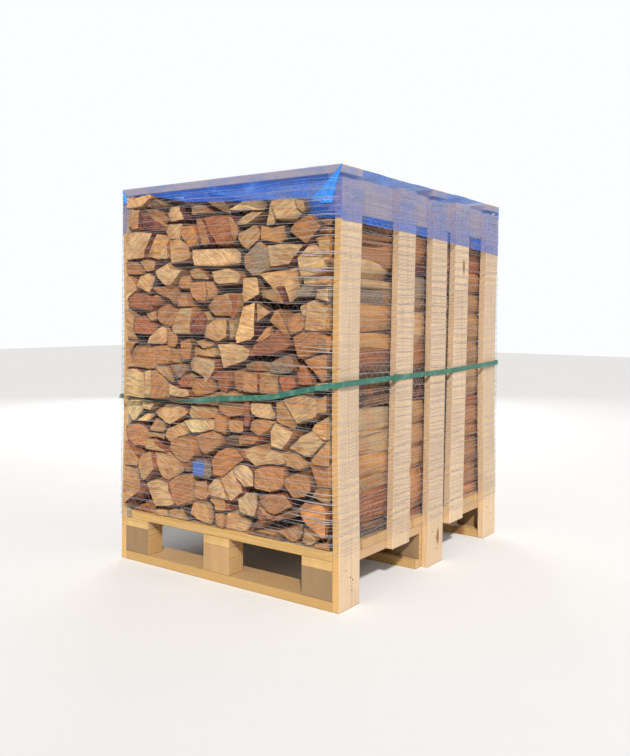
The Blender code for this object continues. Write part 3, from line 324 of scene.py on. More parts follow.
def sawn_wood(name, grain, tone, fresh, seed, box, worn, front_grain_and_light_share, front_grain_and_light_tone):
    """Sawn softwood: growth rings round a line beside the board, cut through by its faces.

    The ring phase is the distance from that line over the ring width, warped by slow noise. Knots are
    the cells of a stretched Voronoi pattern, and saw marks are a fine wave along the grain. The faces
    towards the front take a share of a tone of their own: partly the end grain's colour, partly
    painted light, sunlit gold on the front edges and painted shade on the rail and block ends. The
    lowest few millimetres of each board are darkened by a painted contact shadow.
    """
    draw = np.random.default_rng(seed)
    finish = Finish(name)
    place, parts = finish.place()
    low, high = box
    centre = (low + high) / 2
    sides = [axis for axis in range(3) if axis != grain]
    wide, thin = sorted(sides, key=lambda axis: low[axis] - high[axis])
    heart_across = centre[wide] + draw.uniform(-0.03, 0.03)
    heart_deep = centre[thin] + draw.choice((-1, 1)) * draw.uniform(0.02, 0.06)
    stretch = [7.0, 7.0, 7.0]
    stretch[grain] = 0.9
    along = finish.node("VectorMath", {"operation": "MULTIPLY_ADD"},
                        {0: place, 1: tuple(stretch), 2: tuple(draw.uniform(-9, 9, 3))})
    warp = finish.noise(along, 1.0, 2.0)
    across = parts[wide] - heart_across + (warp - 0.5) * 0.030 + (parts[grain] - centre[grain]) * 0.012
    deep = parts[thin] - heart_deep + (warp - 0.5) * 0.014
    knot_place = finish.vector(parts[grain] * 3.1 + draw.uniform(0, 9), parts[wide] * 9.0, seed * 0.37)
    knot = finish.node("TexVoronoi", {}, {"Vector": knot_place, "Scale": 1.0})
    knot_core = knot.between(0.045, 0.075, 1.0, 0.0)
    knot_rim = knot.between(0.07, 0.11, 1.0, 0.0)
    reach = (across * across + deep * deep) ** 0.5
    ring = (reach * (math.tau / 0.0042) + knot.between(0.0, 0.30, 9.0, 0.0)).sine()
    late = ring.between(0.1, 1.0)
    fibre_stretch = [900.0, 900.0, 900.0]
    fibre_stretch[grain] = 18.0
    fibre_place = finish.node("VectorMath", {"operation": "MULTIPLY"},
                              {0: place, 1: tuple(fibre_stretch)})
    fibre = finish.noise(fibre_place, 1.0, 3.0, 0.6)
    saw_place = parts[grain] * (math.tau / 0.0037) + (parts[wide] * 55.0) + warp * 9.0
    saw = saw_place.sine()
    patch = finish.noise(place, 9.0, 3.0, 0.6)
    ripple_place = parts[grain] * (math.tau / 0.0100) - parts[wide] * 120.0 + warp * 8.0
    ripple = ripple_place.sine() * patch.between(0.35, 0.60)
    # Painted contact shadow: each board is darkened over its lowest 2.5 mm, where it sits on the board or
    # ground below
    painted_contact_shade = (parts[2] - low[2]).between(0.0, 0.0025, 0.55, 1.0)
    normal = finish.parts(finish.node("NewGeometry", {}, {}, "Normal"))
    colour = finish.blend(late * 0.32, tone, tuple(0.62 * c for c in fresh))
    colour = finish.blend(patch.between(0.42, 0.75, 0.0, worn), colour, (0.43, 0.30, 0.19))
    # Painted light on the faces towards the front, over the end grain's own colour: sunlit gold on the
    # front edges, painted shade on the rail and block ends
    colour = finish.blend(normal[1].between(-0.95, -0.6, front_grain_and_light_share, 0.0), colour, front_grain_and_light_tone)
    colour = finish.blend(knot_rim * 0.75, colour, (0.30, 0.13, 0.045))
    colour = finish.blend(knot_core * 0.6, colour, (0.16, 0.065, 0.022))
    colour = finish.shade(colour, (fibre * 0.46 + 0.75 + saw * 0.045 + ripple * 0.060) * painted_contact_shade)
    height = saw * 0.35 + ripple * 0.5 + fibre * 1.2 + late * 0.3 - knot_core
    return finish.shader(Base_Color=colour, Roughness=fibre.between(0.2, 0.8, 0.62, 0.82),
                         Normal=finish.bump(height, 0.0006, 0.55))


def split_wood(name):
    """Split firewood. A point's attributes give its log's tone, its place from the log's heart, its
    place across the saw's marks, and how far it lies on an end and on bark."""
    finish = Finish(name)
    place, parts = finish.place()
    tone = finish.attribute("tone", "Color")
    heart_x, heart_z, saw_place = finish.parts(finish.attribute("heart"))
    on_end, on_bark, luck = finish.parts(finish.attribute("traits"))
    long_place = finish.node("VectorMath", {"operation": "MULTIPLY"}, {0: place, 1: (60.0, 5.0, 60.0)})
    streak = finish.noise(long_place, 1.0, 4.0, 0.62)
    fine_place = finish.node("VectorMath", {"operation": "MULTIPLY"},
                             {0: place, 1: (520.0, 22.0, 520.0)})
    fibre = finish.noise(fine_place, 1.0, 3.0, 0.6)
    grain = finish.noise(place, 420.0, 2.0, 0.6)
    patch = finish.noise(place, 34.0, 3.0, 0.6)
    reach = (heart_x * heart_x + heart_z * heart_z) ** 0.5
    rings = (reach * (math.tau / 0.0031) + patch * 9.0 + luck * 20.0).sine() * 0.5 + 0.5
    angle = heart_z.math("ARCTAN2", heart_x)
    slant = luck * SLANT_SPREAD + SLANT_START
    along_saw = parts[0] * slant.sine() - parts[2] * slant.math("COSINE")
    scratch_place = finish.vector(saw_place * 190.0, along_saw * 26.0, luck * 9.0)
    scratch = finish.noise(scratch_place, 1.0, 4.0, 0.65)
    torn = scratch.between(0.40, 0.58)
    crack_wave = (angle * 4.0 + luck * 40.0 + patch * 1.6).sine().absolute() * reach
    crack = crack_wave.between(0.0004, 0.0016, 1.0, 0.0) * patch.between(0.48, 0.62)
    teeth = (saw_place * (math.tau / 0.0052) + patch * 5.0).sine() * 0.5 + 0.5
    coarse = (saw_place * (math.tau / 0.0161) + patch * 9.0).sine() * 0.5 + 0.5
    marks = rings * 0.10 + teeth * 0.10 + coarse * 0.10 + torn * 0.44
    end_shade = 0.33 + marks + grain * 0.20 + patch * 0.42 - crack * 0.6
    side_shade = 0.36 + streak * 0.80 + fibre * 0.34
    shade = end_shade * on_end + side_shade * (1.0 - on_end)
    colour = finish.shade(tone, shade)
    stain = finish.noise(place, 19.0, 2.0, 0.5).between(0.47, 0.66, 0.0, 0.8)
    warm = finish.blend(stain, colour, finish.shade(finish.blend(0.65, tone, (0.40, 0.15, 0.045)), shade))
    streaked = finish.blend(streak.between(0.52, 0.70, 0.0, 0.5) * (1.0 - on_end), warm,
                            finish.shade(finish.blend(0.5, tone, (0.62, 0.30, 0.09)), shade))
    bark_colour = finish.blend(streak, (0.035, 0.022, 0.015), (0.13, 0.10, 0.075))
    barked = finish.blend(on_bark * (1.0 - on_end), streaked, bark_colour)
    rimmed = finish.blend(on_bark * on_end * 0.5, barked, (0.10, 0.05, 0.03))
    paint = paint_mark(finish, parts, grain, on_end)
    painted = finish.blend(paint * (0.62 + torn * 0.28), rimmed, (0.030, 0.15, 0.58))
    end_height = teeth * 0.4 + coarse * 0.4 + scratch * 1.4 + grain * 0.4 - crack * 2.0
    side_height = streak * 2.6 + fibre * 0.9
    height = end_height * on_end + side_height * (1.0 - on_end)
    return finish.shader(Base_Color=painted, Roughness=grain.between(0.2, 0.8, 0.68, 0.88),
                         Normal=finish.bump(height, 0.0011, 0.8))


def paint_mark(finish, parts, grain, on_end):
    """A dab of blue paint on one log end at the front: a soft box with a ragged edge."""
    ragged = (grain - 0.5) * 0.008
    across = (parts[0] + 0.0710 + ragged).absolute().between(0.019, 0.023, 1.0, 0.0)
    upwards = (parts[2] - 0.3265 + ragged).absolute().between(0.018, 0.022, 1.0, 0.0)
    front = parts[1].between(-0.49, -0.48, 1.0, 0.0)
    return across * upwards * front * on_end


def read_outlines(node, outward, beyond):
    """Read the log ends' outlines from a row's solid: (end's y, outline) pairs.

    The ends are the flat triangles that face outward beyond a given y. Their edges that no other such
    triangle shares are walked round into closed outlines.
    """
    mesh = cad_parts[node].data
    points = np.empty(len(mesh.vertices) * 3)
    mesh.vertices.foreach_get("co", points)
    points = points.reshape(-1, 3)
    mesh.calc_loop_triangles()
    corners = np.empty(len(mesh.loop_triangles) * 3, int)
    mesh.loop_triangles.foreach_get("vertices", corners)
    triangles = points[corners.reshape(-1, 3)]
    normal = np.cross(triangles[:, 1] - triangles[:, 0], triangles[:, 2] - triangles[:, 0])
    normal /= np.maximum(np.linalg.norm(normal, axis=1, keepdims=True), 1e-12)
    on_end = (normal[:, 1] * outward > 0.99) & (triangles[:, :, 1].mean(1) * outward > beyond)
    ends = triangles[on_end]
    places, index = np.unique(np.round(ends.reshape(-1, 3) * 1e5).astype(int), axis=0,
                              return_inverse=True)
    index = index.reshape(-1, 3)
    edges = {(tri[i], tri[(i + 1) % 3]) for tri in index.tolist() for i in range(3)}
    following = {}
    for a, b in sorted(edges):
        if (b, a) not in edges:
            following.setdefault(a, []).append(b)
    outlines = []
    while following:
        start = next(iter(following))
        walk = [start]
        while walk[-1] in following:
            here = walk[-1]
            walk.append(following[here].pop())
            if not following[here]:
                del following[here]
        loop = places[walk[:-1]] / 1e5
        outlines.append((loop[:, 1].mean(), loop[:, [0, 2]]))
    return outlines


def outline_area(outline):
    """Signed area of an outline: positive when it runs counter-clockwise."""
    ahead = np.roll(outline, -1, 0)
    return ((outline[:, 0] * ahead[:, 1]) - (outline[:, 1] * ahead[:, 0])).sum() / 2


def worn_outline(outline, rounding, draw):
    """Four points along each side of an outline: corners cut back by a rounding, sides a little rough."""
    ahead = np.roll(outline, -1, 0)
    side = ahead - outline
    length = np.maximum(np.linalg.norm(side, axis=1), 1e-6)
    cut = np.minimum(rounding, length * 0.22) / length
    part = np.stack((cut, np.full_like(cut, 0.35), np.full_like(cut, 0.68), 1 - cut), 1)
    outward = np.stack((side[:, 1], -side[:, 0]), 1) / length[:, None]
    rough = draw.normal(0, 1, part.shape) * (0.0003, 0.0009, 0.0009, 0.0003)
    points = outline[:, None] + part[..., None] * side[:, None] + rough[..., None] * outward[:, None]
    return points.reshape(-1, 2)


def kept_in_room(points, by_rail=True):
    """Hold points between the posts, over the deck and, where they run past the rails, beside them."""
    z = np.clip(points[..., -1], LOGS_LOW, PLANK_LOW - 0.002)
    between = np.clip(points[..., 0], LOG_LEFT, LOG_RIGHT)
    beside_rail = np.clip(between, -LOG_ROOM_AT_RAIL, LOG_ROOM_AT_RAIL)
    before_rail = np.clip(points[..., 0], -POST_INNER, POST_INNER)
    x = np.where(z > RAIL_LOW - 0.001, np.where(by_rail, beside_rail, before_rail), between)
    kept = points.copy()
    kept[..., 0] = x
    kept[..., -1] = z
    return kept


def over_rail_end(outline):
    """Widen a front end that stops beside a rail, so that it covers the rail's end."""
    x, z = outline[:, 0], outline[:, 1]
    at_rail = (np.abs(x) > LOG_ROOM_AT_RAIL - 0.016) & (z > RAIL_LOW - 0.006)
    return np.column_stack((np.where(at_rail, np.sign(x) * POST_INNER, x), z))


def log_surface(outline, front, back, look, draw):
    """One split log: its worn outline carried along its length, closed by a sawn face at each end.

    Each ring is the outline drawn towards or away from its middle: drawn in over the end faces and the
    broken rim, swelling behind the end to meet its neighbours, and wandering slowly along the length.
    """
    tone, side_tone, bark, luck, swell = look
    ring = worn_outline(outline, look_rounding(luck), draw)
    count = len(ring)
    middle = ring.mean(0)
    away = ring - middle
    radius = np.linalg.norm(away, axis=1)
    turn = np.arctan2(away[:, 1], away[:, 0])
    length = back - front
    heart = middle + away[np.argmax(radius)] * 1.12
    stations = (
        (0.45, 0.0, 0.0, 1.0), (0.0, -0.0022, 0.0, 1.0), (0.0, -0.0008, 0.0004, 0.75),
        (0.0, 0.0, 0.0018, 0.0), (0.0, swell * 0.5, 0.016, 0.0), (0.0, swell, 0.05, 0.0),
        (0.0, swell, length * 0.36, 0.0), (0.0, swell, length * 0.62, 0.0),
        (0.0, swell * 0.5, length - 0.018, 0.0), (0.0, 0.0, length - 0.0018, 0.0),
        (0.0, -0.0022, length, 1.0), (0.45, 0.0, length, 1.0),
    )
    scale = np.array([[1 - inner] for inner, _, _, _ in stations])
    grow = np.array([[out] for _, out, _, _ in stations])
    run = np.array([[at] for _, _, at, _ in stations])
    end = np.array([[mask] for _, _, _, mask in stations])
    wander = np.sin(turn * 2 + run * 11 + luck * 30) + 0.7 * np.sin(turn * 5 - run * 17 + luck * 50)
    depth = np.clip(run / 0.05, 0, 1) * np.clip((length - run) / 0.05, 0, 1)
    factor = scale * (1 + (grow + 0.0016 * wander * depth) / radius)
    across = middle[0] + away[:, 0] * factor
    upward = middle[1] + away[:, 1] * factor
    tilt = np.array(draw.normal(0, 0.075, 2))
    lean = (across - middle[0]) * tilt[0] + (upward - middle[1]) * tilt[1]
    lean = np.where(run < length / 2, lean - lean[:4].min(), lean - lean[-3:].max()) * (1 - depth)
    half = max(np.ptp(ring[:, 1]) / 2, 0.010)
    rise = np.clip(np.abs(upward - middle[1]) / half, 0, 1.2)
    belly = (0.001 + 0.006 * luck + 0.015 * rise ** 2) * depth
    spare = 0.008 * (1 - depth) - belly
    across = np.clip(across, LOG_LEFT - spare, LOG_RIGHT + spare)
    points = np.stack((across, front + run + lean, upward), -1)
    points = kept_in_room(points, points[..., 1] > RAIL_FRONT - 0.0005).reshape(-1, 3)
    caps = np.array([[middle[0], points[:count, 1].mean(), middle[1]],
                     [middle[0], points[-count:, 1].mean(), middle[1]]])
    points = np.vstack((points, caps))
    rows = len(stations)
    faces = grid_faces(rows, count, True).tolist()
    around = np.arange(count)
    ahead = (around + 1) % count
    first, last = rows * count, rows * count + 1
    base = (rows - 1) * count
    faces += np.stack((np.full(count, first), ahead, around), 1).tolist()
    faces += np.stack((np.full(count, last), base + around, base + ahead), 1).tolist()
    on_end = np.append(np.repeat(end[:, 0], count), (1.0, 1.0))
    spread = np.linalg.norm(points[:, [0, 2]] - heart, axis=1)
    on_bark = np.clip((spread / spread[:count * 2].max() - 0.80) * 9, 0, 1) * bark
    colours = np.where(on_end[:, None] > 0.5, tone, side_tone)
    slant = luck * SLANT_SPREAD + SLANT_START
    saw = points[:, 0] * math.cos(slant) + points[:, 2] * math.sin(slant)
    attributes = {
        "tone": np.column_stack((colours, np.ones(len(points)))),
        "heart": np.column_stack((points[:, 0] - heart[0], points[:, 2] - heart[1], saw)),
        "traits": np.column_stack((on_end, on_bark, np.full(len(points), luck))),
    }
    return points, faces, attributes


def look_rounding(luck):
    """How far a log's corners are rounded: most are sharp, a few are blunt."""
    return 0.0009 + 0.0022 * luck ** 3


def tone_at(outline):
    """The tone of the log end at a place on the front."""
    middle = (outline.mean(0) + (POST_FACE + 0.0017, 0.0)) * 100
    best, found = 4.2, "tan"
    for name, places in TONE_PLACES.items():
        apart = np.linalg.norm(np.array(places) - middle, axis=1).min()
        if apart < best:
            best, found = apart, name
    return found


def side_tone_at(row, height):
    """The tone of the log that lies at a height on the right side."""
    return [name for start, name in SIDE_TONES[row] if start <= height][-1]


def varied(name, draw):
    """A tone with a little of its own lightness and warmth."""
    light = draw.normal(0.98, 0.14)
    warm = draw.normal(0.02, 0.04)
    return np.clip(np.array(WOOD_TONES[name]) * light * (1 + warm, 1.0, 1 - 1.5 * warm), 0.01, 0.9)


def join_surfaces(surfaces):
    """Join the logs of a row: their points, their faces moved on by the points before, and attributes."""
    counts = np.cumsum([0] + [len(points) for points, _, _ in surfaces])
    points = np.vstack([points for points, _, _ in surfaces])
    faces = [[corner + start for corner in face] for start, (_, some, _) in zip(counts, surfaces)
             for face in some]
    attributes = {key: np.vstack([found[key] for _, _, found in surfaces])
                  for key in surfaces[0][2]}
    return points, faces, attributes


def make_rows(seed):
    """Three rows of logs: the front one on the outlines of its solid, the others on them turned round."""
    draw = np.random.default_rng(seed)
    found = read_outlines("log_row_front", -1, 0.49)
    ends = [(y, outline) for y, outline in found if abs(outline_area(outline)) > 0.00012]
    wood = split_wood("split_firewood")
    side_names = list(WOOD_TONES)[1:6] + ["brown_and_shade"]
    for row, (low, high) in zip(("front", "middle", "back"), ROW_ENDS):
        surfaces = []
        for y, outline in ends:
            end_name = tone_at(outline)
            proud = -0.5 - y
            shape = outline
            if row == "middle":
                shape = outline * (-1, 1) + (LOG_LEFT + LOG_RIGHT, 0)
            if row == "back":
                shape = (LOG_LEFT + LOG_RIGHT, TURN_HEIGHT) - outline
            if row == "front":
                shape = over_rail_end(shape)
            else:
                end_name = draw.choice(side_names[:4])
            if outline_area(shape) > 0:
                shape = shape[::-1]
            shape = kept_in_room(shape, row != "front")
            if abs(outline_area(shape)) < 0.0001:
                continue
            if row == "front" and shape[:, 0].min() < LOG_LEFT - 0.004:
                y = min(y, RAIL_FRONT - 0.006)
            front = {"front": y, "middle": low[1], "back": low[1]}[row]
            back = {"front": high[1], "middle": high[1], "back": 0.5 + proud}[row]
            if row == "middle":
                front, back = front + 0.004 + draw.uniform(0, 0.01), back - 0.004 - draw.uniform(0, 0.01)
            middle = shape.mean(0)
            side_name = draw.choice(side_names)
            if middle[0] > 0.26:
                side_name = side_tone_at(row, middle[1])
            bark = float(draw.random() < 0.4)
            if middle[0] > 0.3 and side_name in ("tan", "light", "orange"):
                bark = 0.0
            swell = SWELLS[row]
            if row == "front" and middle[0] < -0.26 and middle[1] < 0.27:
                swell = GAP_SWELL
            look = (varied(end_name, draw), varied(side_name, draw) * 0.9, bark, draw.random(), swell)
            surfaces.append(log_surface(shape, front, back, look, draw))
        points, faces, attributes = join_surfaces(surfaces)
        add_piece(f"firewood_{row}", points, faces, wood, (f"log_row_{row}",),
                  attributes, smooth=False)


def film_finish(name):
    """Thin blue film: see-through, whiter where it is creased, deeper where it lies double. Where it
    spans the shaded gaps between the planks and between the posts, its blue is painted deeper and
    more opaque, with a painted glow standing in for light through it.
    """
    finish = Finish(name)
    place, parts = finish.place()
    fold = finish.attribute("fold", "Fac")
    crease = finish.noise(finish.node("VectorMath", {"operation": "MULTIPLY"},
                                      {0: place, 1: (14.0, 9.0, 22.0)}), 1.0, 4.0, 0.6)
    fine = finish.noise(place, 95.0, 3.0, 0.65)
    # The fold share deepens the blue and the opacity: real where the film lies double, painted shade where
    # it spans the gaps
    free = finish.blend(fold.between(0.0, 0.5), (0.075, 0.215, 0.66), (0.020, 0.135, 0.62))
    deep = finish.blend(fold.between(0.6, 1.0), free, (0.040, 0.26, 0.76))
    colour = finish.blend(crease.between(0.55, 0.75, 0.0, 0.35), deep, (0.22, 0.42, 0.90))
    alpha = fold.between(0.0, 1.0, 0.30, 0.86) + crease.between(0.45, 0.7, 0.0, 0.14) + fine * 0.06
    normal = finish.bump(crease * 3.0 + fine * 0.3, 0.004, 0.7)
    # Painted glow: the film gives off a little of its deep blue where it spans the gaps, standing in for
    # light shining through it
    painted_glow = finish.shade(deep, fold.between(0.1, 0.6, 0.0, 0.13))
    return finish.shader(Base_Color=colour, Alpha=alpha, Roughness=0.22, IOR=1.45,
                         Specular_IOR_Level=0.4, Emission_Color=painted_glow, Emission_Strength=1.0,
                         Normal=normal)


def film_sheet(side, end, top, side_drop, settings):
    """The film over the load: a strip across the planks that hangs down on both sides.

    The strip's first parameter runs across: down one side, over the top and down the other; its second
    runs along the load. The top sags between the planks as a sine, and the hanging sides are pressed in
    between the posts and ripple towards their edges.
    """
    rows, columns = 150, 120
    cut = side * 2 + side_drop * 2
    across = np.linspace(-cut / 2, cut / 2, columns)[None, :]
    y = np.linspace(-end, end, rows)[:, None]
    over = np.clip(np.abs(across) - side, 0, None)
    drop = over / side_drop * (side_drop + 0.031 * (y + end) ** 2)
    x = np.sign(across) * (np.minimum(np.abs(across), side)) + 0 * y
    on_top = (over == 0)
    z = top - drop
    middle_plank = node_box("cross_plank_middle")
    spans = ((node_box("cross_plank_front")[1][1], middle_plank[0][1]),
             (middle_plank[1][1], node_box("cross_plank_back")[0][1]))
    inside = np.clip(1 - (np.abs(x) / (side - 0.03)) ** 6, 0, 1)
    for low, high in spans:
        part = np.clip((y - low) / (high - low), 0, 1)
        sag = np.sin(part * math.pi) ** 1.3
        z = z - settings.film_sag * sag * inside * on_top
        fluted = np.sin(across * 46 + np.sin(y * 9) * 2) + 0.6 * np.sin(across * 83 + y * 25)
        z = z + 0.0016 * fluted * sag * on_top
    creases = np.sin(y * 71 + across * 34) * np.sin(y * 23 - across * 19)
    z = z + np.where(on_top, 0.0006 * creases, 0)
    hang = np.clip(over / side_drop, 0, 1)
    between = between_posts(y)
    pressed = between * np.clip(hang * 3 - 0.55, 0, 1) * (1 - 0.35 * hang)
    ripple = (np.sin(y * 130 + hang * 6) * 0.5 + np.sin(y * 57 - hang * 9)) * 0.0011 * between
    x = x - np.sign(across) * (0.006 * pressed + ripple * hang) * ~on_top
    points = np.stack((x, y + 0 * x, z), -1).reshape(-1, 3)
    # Painted shade in the film: deeper and more opaque where it spans the gaps between the planks and,
    # below the rails, between the posts, and a little deeper lower down over the posts
    off_planks = np.clip((np.minimum(np.abs(y - spans[0][0]), np.abs(y - spans[1][1]))) / 0.02, 0, 1)
    in_span = sum((y > low) & (y < high) for low, high in spans)
    below_rail = np.clip((RAIL_LOW - z) / 0.006, 0, 1)
    at_side = np.maximum(0.50 * below_rail * between, 0.08 + 0.26 * hang * (1 - between))
    fold = np.where(on_top, 0.68 * in_span * off_planks, at_side)
    return points, grid_faces(rows, columns), fold.ravel()


def between_posts(y):
    """1 where the film and the net span from post to post, 0 where a post backs them."""
    free = np.ones_like(y)
    for index in range(1, 6):
        low, high = node_box(f"post_right_{index}")
        centre = (low[1] + high[1]) / 2
        half = (high[1] - low[1]) / 2
        free = free * np.clip((np.abs(y - centre) - half) / 0.035, 0, 1)
    return free ** 0.6


def film_end(side, end, top, outward):
    """One hanging end of the film: a short skirt whose lower edge follows a table across the load, and
    stands out in flutes between its corners."""
    rows, columns = 30, 170
    x = np.linspace(-side, side, columns)[None, :]
    down = np.linspace(0, 1, rows)[:, None]
    across = -outward * x
    low = top - np.interp(across, FILM_EDGE_PLACES, FILM_EDGE_HEIGHTS)
    z = top - down * low
    free = np.clip((0.30 - np.abs(x)) / 0.05, 0, 1)
    wave = (np.sin(x * 58 + down * 3) * 0.6 + np.sin(x * 23 + 1.3)) * 0.0030
    crease = 0.004 * np.exp(-((across - 0.172) / 0.004) ** 2)
    y = outward * (end + np.abs(wave) * np.clip(down * 2 - 0.4, 0, 1) * free + crease * down)
    points = np.stack(np.broadcast_arrays(x, y, z), -1).reshape(-1, 3)
    faces = grid_faces(rows, columns)
    # Painted shade in the film: deeper below the planks' ends, where it hangs over the gaps, less so over
    # the left post and in two lighter patches
    lighter = np.clip(1.4 - np.abs(across - 0.225) / 0.04, 0, 1) + np.clip((across - 0.30) / 0.02, 0, 1)
    on_post = np.clip((-0.393 - across) / 0.004, 0, 1)
    below_plank = np.clip((PLANK_LOW + 0.003 - z) / 0.010, 0, 1)
    fold = below_plank * (0.55 - 0.16 * lighter) * (1 - 0.85 * on_post)
    return points, faces if outward > 0 else faces[:, ::-1], fold.ravel()


def film_flap(side, end, top, hand, outward):
    """The fold at a corner, where the film lies double: its width is a table of the height, widest a
    little under the top at the front's right and at the back's left."""
    rows, columns = 26, 20
    wide = hand * outward < 0
    down = np.linspace(0.0, 1, rows)[:, None]
    part = np.linspace(0, 1, columns)[None, :]
    depth, places, widths, bare = WIDE_FOLD if wide else NARROW_FOLD
    outer = bare * down
    x = hand * (side - outer - part * (np.interp(down, places, widths) - outer))
    z = top - 0.001 - down * depth - 0.006 * part * np.sin(down * math.pi)
    y = outward * (end + 0.0012 + 0.004 * np.sin(part * math.pi) * down
                   + 0.0009 * np.sin(part * 19 + down * 4))
    points = np.stack(np.broadcast_arrays(x, y, z), -1).reshape(-1, 3)
    faces = grid_faces(rows, columns)
    return points, faces if wide else faces[:, ::-1], np.full(len(points), 0.95)


def make_film(settings):
    """The cover film: the strip over the load, its two hanging ends and the folds at its corners."""
    side = POST_FACE + 0.0007
    end = -POST_FRONT + 0.0007
    top = PLANK_TOP + 0.0007
    side_drop = top - 1.0225
    parts = [film_sheet(side, end, top, side_drop, settings)]
    for outward in (-1, 1):
        parts.append(film_end(side, end, top, outward))
        parts += [film_flap(side, end, top, hand, outward) for hand in (-1, 1)]
    counts = np.cumsum([0] + [len(points) for points, _, _ in parts])
    points = np.vstack([points for points, _, _ in parts])
    faces = np.vstack([some + start for start, (_, some, _) in zip(counts, parts)])
    piece = add_piece("film", points, faces.tolist(), film_finish("blue_film"),
                      ("film_cover",))
    fold = piece.data.attributes.new("fold", "FLOAT", "POINT")
    fold.data.foreach_set("value", np.hstack([share for _, _, share in parts]).astype(np.float32))
    corners = points[faces]
    spread = np.cross(corners[:, 2] - corners[:, 0], corners[:, 3] - corners[:, 1])
    area = float(np.linalg.norm(spread, axis=1).sum() / 2)
    width, length = (side + side_drop) * 2, (end + side_drop) * 2
    min(area, width * length)


def net_line():
    """The closed line that the net follows round the load, seen from above."""
    shoulder = -POST_FRONT + 0.0016
    x, y = NET_SIDE - 0.0006, NET_END - 0.0006
    corner = 0.393
    quarter = [(corner, -y), (x, -shoulder), (x, shoulder), (corner, y)]
    points = np.array(quarter + [(-a, -b) for a, b in quarter] + [quarter[0]])
    return points


def along_line(points, run):
    """Points at given distances along a line."""
    step = np.linalg.norm(np.diff(points, axis=0), axis=1)
    far = np.concatenate(([0], np.cumsum(step)))
    place = np.stack([np.interp(run, far, points[:, i]) for i in (0, 1)], -1)
    return place


def net_finish(name):
    """Clear knitted yarn: pale and a little glossy."""
    finish = Finish(name)
    place, _ = finish.place()
    twist = finish.noise(place, 700.0, 2.0)
    colour = finish.blend(twist, (0.30, 0.29, 0.31), (0.62, 0.62, 0.66))
    return finish.shader(Base_Color=colour, Roughness=twist.between(0.3, 0.7, 0.25, 0.5),
                         Normal=finish.bump(twist, 0.0003, 0.5))


def yarn_tube(path, outward, radius):
    """A three-sided yarn along many paths at once: each path's points, moved out by three offsets."""
    up = np.array((0.0, 0.0, 1.0))
    radius = np.broadcast_to(radius, path.shape[:-1])[..., None]
    inward = outward * -0.6
    offsets = (outward * radius, (up + inward) * radius, (inward - up) * radius)
    return np.stack([path + offset for offset in offsets], -2)


def pulled_together(chain, levels):
    """How far the chains are pulled together into bright cords: at the right of the front, in bands of
    height, and for some of the chains only."""
    x, y, z = np.moveaxis(chain, -1, 0)
    right = np.clip((x - 0.27) / 0.07, 0, 1) * np.clip((0.415 - x) / 0.02, 0, 1) * (y < -0.40)
    band = sum(np.clip(1.3 - np.abs(z - middle) / reach, 0, 1)
               for middle, reach in ((0.265, 0.06), (0.67, 0.03), (0.915, 0.11), (1.06, 0.02)))
    return right * np.clip(band, 0, 1) * (np.sin(levels * 913.0) > -0.1)


def make_net(settings):
    """The net: chains that run round the load in layers at slightly different slopes, tied by zigzag
    threads. A chain's height is its level plus a slope times the distance run, plus slow waves."""
    line = net_line()
    around = np.linalg.norm(np.diff(line, axis=0), axis=1).sum()
    finish = net_finish("net_yarn")
    low, high = NET_LOW_CORNER[2] + 0.012, NET_HIGH_CORNER[2] + 0.006
    steps = 250
    run = np.arange(steps) / steps * around
    place = along_line(line, run)
    ahead = along_line(line, (run + 0.002) % around)
    heading = ahead - place
    heading /= np.maximum(np.linalg.norm(heading, axis=1, keepdims=True), 1e-9)
    outward = np.column_stack((heading[:, 1], -heading[:, 0], np.zeros(steps)))
    free = between_posts(place[:, 1]) * (np.abs(place[:, 0]) > NET_SIDE - 0.004)
    for layer in range(settings.net_layers):
        pitch = settings.net_pitch
        levels = np.arange(low + pitch * layer / settings.net_layers, high, pitch)[:, None]
        slope = (0.010, -0.014, 0.004)[layer % 3]
        phase = layer * 2.1
        drift = slope * (run - around / 2) * (1.3 - (levels - low) / (high - low))
        waves = 0.0035 * np.sin(run * 5.1 + levels * 9 + phase) + 0.002 * np.sin(run * 17 - levels * 31)
        bunch = 0.006 * np.sin(levels * 37 + run * 1.7 + phase)
        height = np.clip(levels + drift * np.sin(run / around * math.tau) + waves + bunch, low, high)
        dip = free * 0.003 + 0.0006 * (1 + np.sin(run * 90 + levels * 70)) - 0.0003 * layer
        flat = place[None] - outward[None, :, :2] * dip[..., None]
        chain = np.dstack((flat, height))
        cord = 1 + 3.2 * pulled_together(chain, levels)
        rings = yarn_tube(chain, outward[None], settings.net_yarn / 2 * cord)
        count = len(levels)
        faces = tube_faces(count, steps).tolist()
        zig_points, zig_faces = zigzag(chain, outward, settings.net_thread / 2, count * steps * 3)
        points = np.vstack((rings.reshape(-1, 3), zig_points))
        replaced = ("net_wrap",) if layer == 0 else ()
        add_piece(f"net_layer_{layer + 1}", points, faces + zig_faces, finish, replaced)


def tube_faces(count, steps):
    """Faces of closed three-sided rings: chain by chain, step by step."""
    chain = (np.arange(count) * steps * 3)[:, None, None]
    step = (np.arange(steps) * 3)[None, :, None]
    ahead = ((np.arange(steps) + 1) % steps * 3)[None, :, None]
    corner = np.arange(3)[None, None, :]
    turned = (np.arange(3)[None, None, :] + 1) % 3
    corners = (chain + step + corner, chain + ahead + corner, chain + ahead + turned, chain + step + turned)
    return np.stack(np.broadcast_arrays(*corners), -1).reshape(-1, 4)


